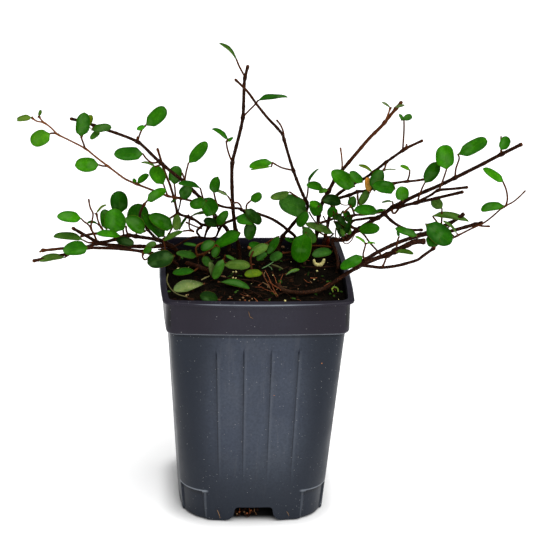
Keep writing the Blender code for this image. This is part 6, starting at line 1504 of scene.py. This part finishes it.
def join_meshes(name, parts):
    """One object from several, each with its own material."""
    bm, materials = bmesh.new(), []
    bm.verts.layers.float_vector.new("blade")
    bm.verts.layers.float_color.new("tint")
    bm.verts.layers.float.new("age")
    for ob in parts:
        first_face = len(bm.faces)
        bm.from_mesh(ob.data)
        bm.faces.ensure_lookup_table()
        for face in bm.faces[first_face:]:
            face.material_index = len(materials)
        materials.append(ob.data.materials[0])
    mesh = kept_mesh(name, bm)
    for ob, material in zip(parts, materials):
        mesh.materials.append(material)
        bpy.data.objects.remove(ob)
    return new_object(name, mesh)


def grown_object(name, growth, leaf, tubes):
    """Blades and tubes of one growth as one object."""
    lines = tubes.run(new_object(name + "_lines", growth.line_mesh(name + "_lines")),
                      Sides=growth.stems.sides, Grain=growth.stems.grain)
    blades = new_object(name + "_blades", growth.blade_mesh(name + "_blades"))
    blades.data.materials.append(leaf)
    return join_meshes(name, [blades, lines])


def plant_tools(scene):
    """The leaves' material, and the tree that makes tubes with bark."""
    bark = shared(bark_material, "wiry_bark", scene.vine_stems)
    return shared(leaf_material, "leaf_green", scene.vine_leaves), tube_tree(bark)


# The pot's and the soil's shapes

def body_half(z):
    """The outer half width of the pot's tapering body."""
    return BASE_HALF + (BODY_HALF - BASE_HALF) * z / BAND_FOOT


def corner_radius(z):
    """The plan's corners are rounder lower down."""
    return LIP_CORNER if z > BAND_FOOT else BASE_CORNER + (BODY_CORNER - BASE_CORNER) * z / BAND_FOOT


def quarter_turns():
    """The turns that carry one side of the pot to each of the four."""
    return [Matrix.Rotation(quarter * math.pi / 2, 3, "Z") for quarter in range(4)]


def plan(half, z, inset, sides, turns):
    """A rounded square with bowed sides at height z, drawn in from half by inset."""
    corner = corner_radius(z) - inset
    straight = half - SIDE_BOW - corner_radius(z)
    points = []
    for turn in quarter_turns():
        for k in range(sides):
            mark = 2 * (k + 0.5) / sides - 1
            points.append(turn @ Vector((half - inset - SIDE_BOW * mark * mark, mark * straight, z)))
        for k in range(turns + 1):
            angle = math.pi / 2 * k / turns
            reach = Vector((corner * math.cos(angle), corner * math.sin(angle)))
            points.append(turn @ Vector((straight + reach.x, straight + reach.y, z)))
    return points


def bed_height(x, y):
    """The soil's top with its crumbs and hollows."""
    coarse = noise.noise(Vector((x, y, 3.0)) * 0.22) * 0.7
    lumps = noise.noise(Vector((x, y, 9.0)) * 0.75) * 0.42
    return soil_height(x, y) - BED_SUNK + coarse + lumps


def new_loop(bm, points):
    """New vertices at points in millimetres."""
    return [bm.verts.new(Vector(point) * MM) for point in points]


def skin(bm, loops):
    """Faces between closed loops of vertices, in order."""
    for lower, upper in zip(loops, loops[1:]):
        for i in range(len(lower)):
            j = (i + 1) % len(lower)
            bm.faces.new((lower[i], lower[j], upper[j], upper[i]))


def ring_solid(bm, rings):
    """Joins closed rings in order and closes both ends."""
    loops = [new_loop(bm, ring) for ring in rings]
    skin(bm, loops)
    bm.faces.new(loops[0][::-1])
    bm.faces.new(loops[-1])
    bmesh.ops.recalc_face_normals(bm, faces=bm.faces)


def solid_object(name, fill):
    """An object from a function that fills a bmesh."""
    bm = bmesh.new()
    fill(bm)
    return new_object(name, kept_mesh(name, bm))


def carve(ob, cutter):
    """Takes one closed shape out of another."""
    modifier = ob.modifiers.new("carve", "BOOLEAN")
    modifier.operation, modifier.solver, modifier.object = "DIFFERENCE", "EXACT", cutter
    evaluated(ob)
    bpy.data.objects.remove(cutter)


def dress(ob, material):
    """The material in place of what the cutters left."""
    ob.data.materials.clear()
    ob.data.materials.append(material)


def top_of(mesh):
    """The upward faces of the bed, away from the walls."""
    bm = bmesh.new()
    bm.from_mesh(mesh)
    low = [face for face in bm.faces
           if face.normal.z < BED_STEEP or face.calc_center_median().xy.length > BED_EDGE * MM]
    bmesh.ops.delete(bm, geom=low, context="FACES")
    return kept_mesh("bed_top", bm)


def eased(low, high, value):
    """0 below low, 1 above high and smooth between; low may be the larger."""
    part = clamped((value - low) / (high - low))
    return part * part * (3 - 2 * part)


def groove_depth(aside, z):
    """How far a side is drawn in across one of its four grooves, which are pointed at the top."""
    wide = max(0.12, eased(96.0, 84.0, z))
    depth = GROOVE_DEPTH * eased(95.5, 92.0, z) * eased(22.0, 46.0, z) * (0.55 + 0.45 * eased(40.0, 88.0, z))
    deepest = 0.0
    for centre in GROOVES:
        offset = aside * BODY_HALF / body_half(z) - centre
        reach = (GROOVE_SOFT if offset < 0 else GROOVE_SHARP) * wide
        deepest = max(deepest, max(0.0, 1.0 - abs(offset) / reach) ** 1.3)
    return depth * deepest


def foot_depth(angle, z):
    """How far a corner is drawn in below its low ledge."""
    blend, far = math.radians(2.5), math.pi / 2 - FOOT_TURN
    edges = eased(FOOT_TURN, FOOT_TURN + blend, angle) * eased(far, far - blend, angle)
    return FOOT_RECESS * edges * eased(FOOT_HEIGHT, FOOT_HEIGHT - 0.7, z)


def side_marks():
    """Places across a side, closer together over the grooves."""
    near = (-1.0, -0.8, -0.55, -0.3, -0.12, 0.0, 0.18, 0.34)
    marks = {round(centre + step * GROOVE_SOFT, 3) for centre in GROOVES for step in near}
    marks |= {float(place) for place in range(-34, 35, 4) if min(abs(place - m) for m in marks) > 1.2}
    return sorted(marks)


def moulded_ring(half, z, marks):
    """One ring of the pot's outside, with its grooves, its recessed feet and its gently dished rim."""
    corner = corner_radius(z)
    straight = half - SIDE_BOW - corner
    points = []
    for turn in quarter_turns():
        for place in marks:
            aside = place / MARKED_HALF * straight
            bow = (aside / straight) * (aside / straight)
            dip = RIM_DIP * eased(BAND_FOOT, POT_HEIGHT, z) * (1.0 - bow)
            depth = groove_depth(aside, z) if z < BAND_FOOT else 0.0
            points.append(turn @ Vector((half - SIDE_BOW * bow - depth, aside, z - dip)))
        for angle in map(math.radians, CORNER_TURNS):
            reach = corner - foot_depth(angle, z)
            place = (straight + reach * math.cos(angle), straight + reach * math.sin(angle), z)
            points.append(turn @ Vector(place))
    return points


def pot_levels():
    """Half width and height of each ring of the outside, from the base to the lip."""
    heights = [2.5, 6.0, 10.0, 14.0, 15.7, 16.0, 16.25, 16.5, 16.7, 17.0, 18.5]
    heights += [21.0 + 2.5 * k for k in range(25)] + [83.0 + 0.9 * k for k in range(15)] + [97.5, 99.5, 100.4]
    base = [(body_half(0) - inset, z) for inset, z in ((1.4, 0.0), (0.7, 0.2), (0.25, 0.6))]
    body = [(body_half(z), z) for z in (1.2, *heights)]
    ledge = [(BODY_HALF + out, z) for out, z in ((-0.12, 100.9), (-0.1, BAND_FOOT), (0.35, BAND_FOOT + 0.02))]
    band = [(BAND_HALF + out, z) for out, z in (
        (-0.7, BAND_FOOT + 0.1), (-0.3, BAND_FOOT + 0.4), (-0.08, BAND_FOOT + 0.9), (0.0, BAND_FOOT + 1.6),
        (0.0, 105.0), (0.0, 110.0), (0.05, 115.4), (0.2, 116.2))]
    lip = [(LIP_HALF - inset, z) for inset, z in (
        (0.55, 116.55), (0.12, 116.8), (0.0, POT_HEIGHT - LIP_HEIGHT / 2), (0.1, POT_HEIGHT - 0.3),
        (0.45, POT_HEIGHT - 0.05), (0.9, POT_HEIGHT))]
    return base + body + ledge + band + lip


def notch_outline(grow):
    """The rounded arch of a notch, across and up, from one foot to the other."""
    half = NOTCH_WIDTH / 2 + grow
    right = [(half + across, up + (grow if up > 0 else 0.0)) for across, up in (
        (7.6, -2.0), (6.1, -0.2), (4.5, 0.5), (2.9, 1.4), (1.7, 2.4), (0.9, 3.6), (0.5, 5.0), (0.4, 6.3),
        (0.2, 7.2), (-0.4, 7.9), (-1.5, NOTCH_HEIGHT))]
    return right + [(-across, up) for across, up in reversed(right)]


def notch_bars(grow):
    """A notch under each side, narrower toward the middle of the base."""
    def fill(bm):
        for turn in quarter_turns():
            rings = [[turn @ Vector((reach, across * part, up)) for across, up in notch_outline(grow)]
                     for reach, part in ((19.0 - grow, 0.93), (30.0, 0.97), (60.0, 1.0))]
            notch = bmesh.new()
            ring_solid(notch, rings)
            bm.from_mesh(kept_mesh("notch", notch))
    return fill


def plan_solid(name, levels, inset):
    """A plain solid through a plan at each half width and height."""
    return solid_object(name, lambda bm: ring_solid(bm, [plan(half, z, inset, 8, 8) for half, z in levels]))


# Operators

class VINE_OT_leafy_stems(bpy.types.Operator):
    """Builds each leafy stem with its twigs, stalks and blades"""
    bl_idname = "wirevine.leafy_stems"
    bl_label = "Leafy Stems"

    def execute(self, context):
        leaf, tubes = plant_tools(context.scene)
        for number, (name, (stems, leaves)) in enumerate(VINES.items()):
            growth = Growth(context.scene, number + 11, FRESH.get(name, (0.0, 0.0)), POINTED.get(name))
            routes = [stem_route(entry) for entry in stems]
            joins = [stem_points(entry)[0] for entry in stems if not entry[2]]
            joins += [growth.add_leaf(row, routes) for row in leaves]
            for entry in stems:
                growth.add_stem(entry, joins)
            for row in TANGLE.get(name, ()):
                growth.add_twig(row, routes)
            finish_piece(grown_object(name + "_grown", growth, leaf, tubes), [name])
        return {"FINISHED"}


class VINE_OT_fallen(bpy.types.Operator):
    """Builds the fallen leaves, the fallen stalk and the flake of perlite that lie on the soil"""
    bl_idname = "wirevine.fallen"
    bl_label = "Loose Pieces on the Soil"

    def execute(self, context):
        scene = context.scene
        leaf, tubes = plant_tools(scene)
        for number, (name, row) in enumerate(FALLEN_LEAVES.items()):
            tone, base, tip, width, depth, lean, roll, wedge = row
            growth = Growth(scene, number + 41)
            start, end = at_depth(*base, depth), at_depth(*tip, depth + lean)
            foot = start - (end - start).normalized() * STUB
            growth.add_blade(tone, start, end, width, roll, [foot], wedge)
            piece = grown_object(name + "_blade", growth, leaf, tubes)
            settle_to(piece, name)
            finish_piece(piece, [name])
        self.stalk(scene)
        self.flake(scene)
        return {"FINISHED"}

    def lay(self, name, growth, material, sides, grain, tint, slot, node):
        """A painted tube that lies where its node does."""
        piece = new_object(name, growth.line_mesh(name))
        tube_tree(material).run(piece, Sides=sides, Grain=grain)
        paint(piece, tint)
        settle_to(piece, node)
        finish_piece(piece, [node])

    def stalk(self, scene):
        """The bare pale stalk."""
        growth, matt = Growth(scene, 51), shared(tinted_material, "faded_stalk", 0.6, 0.7, 1.2, 700.0)
        run = smooth_run([on_soil(u, v, LOOSE_LIFT) for u, v in FALLEN_STALK_PATH], 0.5)[0]
        growth.line(run, [LOOSE_RADIUS - LOOSE_TAPER * i / len(run) for i in range(len(run))])
        self.lay("fallen_stalk_round", growth, matt, 10, scene.vine_stems.grain, scene.vine_soil.stalk,
                 "leaf_faded", "fallen_stalk")

    def flake(self, scene):
        """The curled flake, rough all over."""
        growth, white = Growth(scene, 52), shared(tinted_material, "perlite_grain", 0.85, 0.8, 1.1, 900.0)
        depth = on_soil(*PERLITE_ARC[2], 0.0).y
        run, marks = smooth_run([at_depth(u, v, depth) for u, v in PERLITE_ARC], 0.35)
        radii, steps = [], len(PERLITE_SHARES) - 1
        for mark in marks:
            k = min(steps - 1, int(mark * steps))
            part = PERLITE_SHARES[k] + (PERLITE_SHARES[k + 1] - PERLITE_SHARES[k]) * (mark * steps - k)
            radii.append(FLAKE_RADIUS * part)
        for end in (0, -1):
            radii[end] *= 0.6
        growth.line(run, radii)
        self.lay("perlite_curl", growth, white, 16, 0.0008, scene.vine_soil.perlite,
                 "perlite_white", "perlite_flake")


class VINE_OT_litter(bpy.types.Operator):
    """Builds the rootlets, twigs, shreds and grains on the soil, and the clumps below the drain hole"""
    bl_idname = "wirevine.litter"
    bl_label = "Litter"

    def execute(self, context):
        scene = context.scene
        self.looks, self.random = scene.vine_soil, random.Random(scene.vine_soil.seed)
        self.growth, self.tints = Growth(scene, 61), []
        for tone, thick, places in ROOTLETS:
            self.fibre(tone, thick, [on_soil(u, v, lift + thick / 2) for u, v, lift in places])
        for tone, thick, depth, places in POT_FIBRES:
            self.fibre(tone, thick, [at_depth(u, v, depth) for u, v in places])
        for tone, radius, u, v, lift in GRAINS:
            self.grain(tone, radius, on_soil(u, v, lift))
        for tone, radius, u, v, depth in DRAIN_CLUMPS:
            self.grain(tone, radius, at_depth(u, v, depth))
        for _ in range(self.looks.strands):
            self.strand()
        matt = shared(tinted_material, "litter_mix", 0.8, 0.6, 1.35, 1500.0)
        litter = new_object("soil_litter", self.growth.line_mesh("soil_litter", self.tints))
        finish_piece(tube_tree(matt).run(litter, Sides=8, Grain=0.0003))
        return {"FINISHED"}

    def shade(self, tone, count):
        """The tone's colour a little lighter or darker, for each point."""
        shift = self.random.uniform(0.65, 1.3)
        self.tints += [(*(min(1.0, part * shift) for part in getattr(self.looks, tone)), 1.0)] * count

    def fibre(self, tone, thick, points):
        """A thread that tapers to both ends."""
        run, marks = smooth_run(points, 0.5)
        self.growth.line(run, [thick / 2 * (0.55 + 0.45 * math.sin(math.pi * mark)) for mark in marks])
        self.shade(tone, len(run))

    def grain(self, tone, radius, middle):
        """A rounded crumb."""
        turn = self.random.uniform(0.0, math.pi)
        along = Vector((math.cos(turn), math.sin(turn), self.random.uniform(-0.3, 0.3))) * radius
        steps = (-1.0, -0.7, -0.25, 0.25, 0.7, 1.0)
        self.growth.line([middle + along * step for step in steps],
                         [radius * math.sqrt(1.06 - step * step) for step in steps])
        self.shade(tone, len(steps))

    def strand(self):
        """A short curved thread anywhere on the bed."""
        rnd = self.random
        x, y = (rnd.uniform(-STRAND_REACH, STRAND_REACH) for _ in range(2))
        turn = rnd.uniform(0, 6.3)
        bend, step, lift = rnd.uniform(-0.5, 0.5), rnd.uniform(0.7, 1.9), rnd.uniform(0.1, 0.9)
        points = []
        for _ in range(4):
            points.append(Vector((x, y, soil_height(x, y) + lift)))
            x, y, turn = x + math.cos(turn) * step, y + math.sin(turn) * step, turn + bend
            x, y = clamped(x, -BED_REACH, BED_REACH), clamped(y, -BED_REACH, BED_REACH)
        self.fibre(rnd.choice(("twig", "twig", "chip", "twig", "root")), rnd.uniform(0.22, 0.5), points)


class VINE_OT_soil(bpy.types.Operator):
    """Builds the lumpy bed of soil that fills the pot, and the crumbs and grains on it"""
    bl_idname = "wirevine.soil"
    bl_label = "Soil"

    def execute(self, context):
        looks = context.scene.vine_soil
        bed = solid_object("soil_bed", self.bed)
        carve(bed, solid_object("notch_roofs", notch_bars(WALL + BED_GAP)))
        dress(bed, shared(peat_material, "damp_peat", looks))
        finish_piece(bed, ["soil"])
        tree = scatter_tree(shared(tinted_material, "crumb_mix", 0.88, 0.6, 1.3, 1400.0))
        for name, slot, density, size, tint, stretch, seed, level in (
                ("soil_crumbs", "soil_mix", looks.density, 1.0, looks.crumbs, 1.0, 0, 1),
                ("bark_chips", "soil_mix", 24000.0, 1.5, looks.chip, 3.0, 1, 1),
                ("leaf_scraps", "soil_mix", 4500.0, 2.0, looks.moss, 2.2, 3, 1),
                ("perlite_grains", "perlite_white", 1500.0, 0.85, looks.perlite, 1.3, 2, 2)):
            ob = new_object(name, top_of(bed.data))
            tree.run(ob, Density=density, Size=looks.crumb * size, Tint=(*tint, 1.0), Stretch=stretch,
                     Seed=looks.seed + seed, Level=level)
            finish_piece(ob)
        return {"FINISHED"}

    def bed(self, bm):
        """Rings of the uneven top, drawn in to its middle, over rings down the walls to the base."""
        edge, top = plan(BAND_HALF, BAND_FOOT + 8, WALL + BED_GAP, 24, 7), []
        for k in range(BED_RINGS):
            places = [(point.x * (1.0 - k / BED_RINGS), point.y * (1.0 - k / BED_RINGS)) for point in edge]
            top.append(new_loop(bm, [(x, y, bed_height(x, y) - (0.0 if k else 0.5)) for x, y in places]))
        walls = [new_loop(bm, plan(half, z, WALL + BED_GAP, 24, 7))
                 for half, z in ((body_half(1.8), 1.8), (body_half(50.0), 50.0), (BODY_HALF, BAND_FOOT - 1.2),
                                 (BAND_HALF, BAND_FOOT + 1.2))]
        skin(bm, walls + top)
        middle = new_loop(bm, [(0.0, 0.0, bed_height(0.0, 0.0))])[0]
        for i in range(len(edge)):
            bm.faces.new((top[-1][i], top[-1][(i + 1) % len(edge)], middle))
        bm.faces.new(walls[0][::-1])
        bmesh.ops.recalc_face_normals(bm, faces=bm.faces)


class VINE_OT_pot(bpy.types.Operator):
    """Builds the moulded nursery pot with its grooves, ledges, notches and drain holes"""
    bl_idname = "wirevine.pot"
    bl_label = "Pot"

    def execute(self, context):
        marks = side_marks()
        rings = [moulded_ring(half, z, marks) for half, z in pot_levels()]
        pot = solid_object("moulded_pot", lambda bm: ring_solid(bm, rings))
        room = plan_solid("room", ((body_half(1.5), 1.5), (BODY_HALF, BAND_FOOT - 1.0),
                                   (BAND_HALF, BAND_FOOT + 1.0), (BAND_HALF, POT_HEIGHT + 2.0)), WALL)
        carve(room, solid_object("notch_walls", notch_bars(WALL)))
        for cutter in (room, solid_object("notches", notch_bars(0.0)), solid_object("drains", self.drains)):
            carve(pot, cutter)
        dress(pot, shared(pot_material, "pot_plastic_finish", context.scene.vine_pot))
        finish_piece(pot, ["pot"])
        pot.data.set_sharp_from_angle(angle=SHARP_EDGE)
        return {"FINISHED"}

    def drains(self, bm):
        """A round hole through the roof of each notch."""
        for quarter in range(4):
            angle = quarter * math.pi / 2
            place = Vector((DRAIN_PLACE * math.cos(angle), DRAIN_PLACE * math.sin(angle), NOTCH_HEIGHT)) * MM
            bmesh.ops.create_cone(bm, cap_ends=True, segments=28, radius1=DRAIN_RADIUS * MM,
                                  radius2=DRAIN_RADIUS * MM, depth=8.0 * MM, matrix=Matrix.Translation(place))


class VINE_OT_stage(bpy.types.Operator):
    """Sets the floor, the soft studio light and the camera"""
    bl_idname = "wirevine.stage"
    bl_label = "Stage"

    def execute(self, context):
        scene, looks = context.scene, context.scene.vine_stage
        bm = bmesh.new()
        bmesh.ops.create_grid(bm, x_segments=1, y_segments=1, size=FLOOR_REACH * MM)
        mesh = kept_mesh("pale_floor", bm)
        mesh.materials.append(shared(floor_material, "pale_floor_paint", looks))
        new_object("pale_floor", mesh)
        scene.world = bpy.data.worlds.new("white_surround")
        scene.world.use_nodes = True
        white, power = scene.world.node_tree.nodes["Background"].inputs[:2]
        white.default_value, power.default_value = (1.0, 1.0, 1.0, 1.0), looks.sky
        self.lamp("overhead_light", "SUN", (0.3, -0.3, 1.0), looks.key, angle=math.radians(75))
        self.lamp("front_softbox", "AREA", (0.2, -1.1, 0.55), looks.front, size=0.5)
        scene.camera = self.camera()
        scene.view_settings.view_transform = "Standard"
        return {"FINISHED"}

    def camera(self):
        """The camera at the viewer's place."""
        camera = bpy.data.cameras.new("photo_view")
        camera.sensor_width, camera.lens = SENSOR, FOCAL / PHOTO_SIDE * SENSOR
        camera.clip_start, camera.clip_end = 0.01, 20.0
        ob = new_object("photo_view", camera)
        stand = Matrix((ACROSS, UP, (EYE - SIGHT_TARGET).normalized())).transposed().to_4x4()
        stand.translation = EYE * MM
        ob.matrix_world = stand
        return ob

    def lamp(self, name, kind, place, power, **shape):
        """A soft light aimed at the plant."""
        data = bpy.data.lights.new(name, kind)
        data.energy = power
        for key, value in shape.items():
            setattr(data, key, value)
        aim = Vector((0.0, 0.0, 0.1)) - Vector(place)
        new_object(name, data).matrix_world = (Matrix.Translation(place)
                                               @ aim.to_track_quat("-Z", "Y").to_matrix().to_4x4())


class VINE_PT_sidebar(bpy.types.Panel):
    """Lists what builds the plant"""
    bl_label = "Wire Vine"
    bl_idname = "VINE_PT_sidebar"
    bl_space_type = "VIEW_3D"
    bl_region_type = "UI"
    bl_category = "Wire Vine"

    def draw(self, context):
        for operator in OPERATORS:
            self.layout.operator(operator.bl_idname)
        for key, group in SETTINGS.items():
            box = self.layout.box()
            for name in group.__annotations__:
                box.prop(getattr(context.scene, key), name)


OPERATORS = (VINE_OT_stage, VINE_OT_leafy_stems, VINE_OT_fallen, VINE_OT_soil, VINE_OT_litter, VINE_OT_pot)


def register():
    for group in SETTINGS.values():
        bpy.utils.register_class(group)
    for key, group in SETTINGS.items():
        setattr(bpy.types.Scene, key, PointerProperty(type=group))
    for made in (*OPERATORS, VINE_PT_sidebar):
        bpy.utils.register_class(made)


def unregister():
    for made in (VINE_PT_sidebar, *reversed(OPERATORS)):
        bpy.utils.unregister_class(made)
    for key, group in SETTINGS.items():
        delattr(bpy.types.Scene, key)
        bpy.utils.unregister_class(group)


def plain(box):
    """A box as lists of numbers."""
    return [[float(number) for number in corner] for corner in box]


def main():
    """Builds every piece."""
    register()
    bpy.ops.wirevine.stage()
    bpy.ops.wirevine.leafy_stems()
    bpy.ops.wirevine.fallen()
    bpy.ops.wirevine.soil()
    bpy.ops.wirevine.litter()
    bpy.ops.wirevine.pot()


if __name__ == "__main__":
    main()
